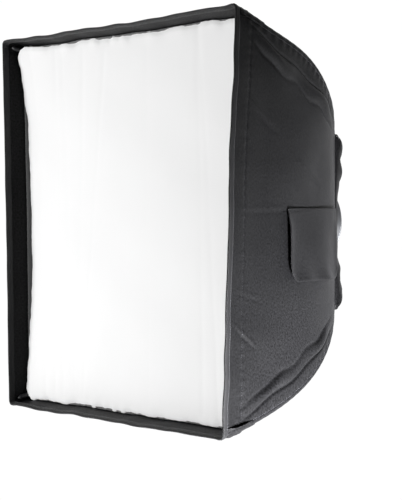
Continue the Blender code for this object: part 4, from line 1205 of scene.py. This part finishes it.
knob = lathe("knob", radii, knob_from + np.array(heights), around, ((0, LOCK_Y, 0), DOWN), closed=False)
dress(knob, LOOKS["nylon"], "lock_knob", ["lock_knob"])
screw_low, screw_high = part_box("lock_screw")
run = np.arange(-screw_high.z, -screw_low.z, 0.0001)
thread = THREAD_R + THREAD_DEPTH * np.clip(np.sin(run * math.tau / THREAD_PITCH) * 1.4, -1, 1)
screw = lathe("lock_thread", [1e-5, *thread, 1e-5], [run[0], *run, run[-1]], 32, ((0, LOCK_Y, 0), DOWN),
              closed=False)
dress(screw, LOOKS["steel"], "lock_knob", ["lock_screw"])


# --- floor, light and camera -------------------------------------------------------------------------
FLOOR_Z = CAD_BOX[0].z - 0.95


def direction(start, end):
    """Vector from one place to another."""
    return Vector(end) - Vector(start)


def light(name, place, target, size, power, tint="#ffffff"):
    """A square soft light at a place, facing a target."""
    data = bpy.data.lights.new(name, "AREA")
    data.size = size
    data.energy = power
    data.color = colour(tint)[:3]
    obj = bpy.data.objects.new(name, data)
    bpy.context.collection.objects.link(obj)
    obj.location = place
    obj.rotation_euler = direction(place, target).to_track_quat("-Z", "Y").to_euler()
    return obj


def look_lit_paper():
    """White studio paper under its own lights, bright enough to read as plain white."""
    look, tree, output = new_look("lit_paper")
    lit = add(tree, "Emission", {"Color": colour("#ffffff"), "Strength": 1.02})
    tree.links.new(lit.outputs[0], output.inputs["Surface"])
    return look


VIEW = np.array([-0.8018, 0.5976, 0.0])        # the way the camera looks
ACROSS = np.array([0.5976, 0.8018, 0.0])
PAPER_HALF = 7
profile = [(-1.5, 0.0), (4.4, 0.0), (4.9, 0.1), (5.2, 0.5), (5.3, 6.0)]     # floor, curve and wall: ahead, up
paper_points = np.array([[VIEW * ahead + ACROSS * side + [0, 0, FLOOR_Z + up]
                          for side in (-PAPER_HALF, PAPER_HALF)] for ahead, up in profile])
paper = patch("paper_sweep", paper_points)
paper.data.materials.append(look_lit_paper())

world = bpy.data.worlds.new("studio")
world.use_nodes = True
background = world.node_tree.nodes["Background"]
background.inputs["Color"].default_value = colour("#ffffff")
background.inputs["Strength"].default_value = 0.10
bpy.context.scene.world = world
bpy.context.scene.view_settings.view_transform = "Standard"

MIDDLE = (0, FRONT_Y / 2, 0)
light("key", (-1.0, FRONT_Y - 2.2, -0.3), MIDDLE, 1.8, 66)
low = light("low_side", (1.15, FRONT_Y + 0.15, -1.0), (0.33, FRONT_Y + 0.17, -0.36), 0.35, 10.5, "#f8f8fc")
low.data.spread = math.radians(40)

camera_data = bpy.data.cameras.new("view")
camera_data.sensor_width = 36
camera_data.lens = 126.6
camera = bpy.data.objects.new("view", camera_data)
bpy.context.collection.objects.link(camera)
camera.location = (2.591, FRONT_Y - 1.726, 0)
PITCH = math.radians(0.912)
aim = (VIEW[0] * math.cos(PITCH), VIEW[1] * math.cos(PITCH), -math.sin(PITCH))
camera.rotation_euler = direction((0, 0, 0), aim).to_track_quat("-Z", "Y").to_euler()
bpy.context.scene.camera = camera
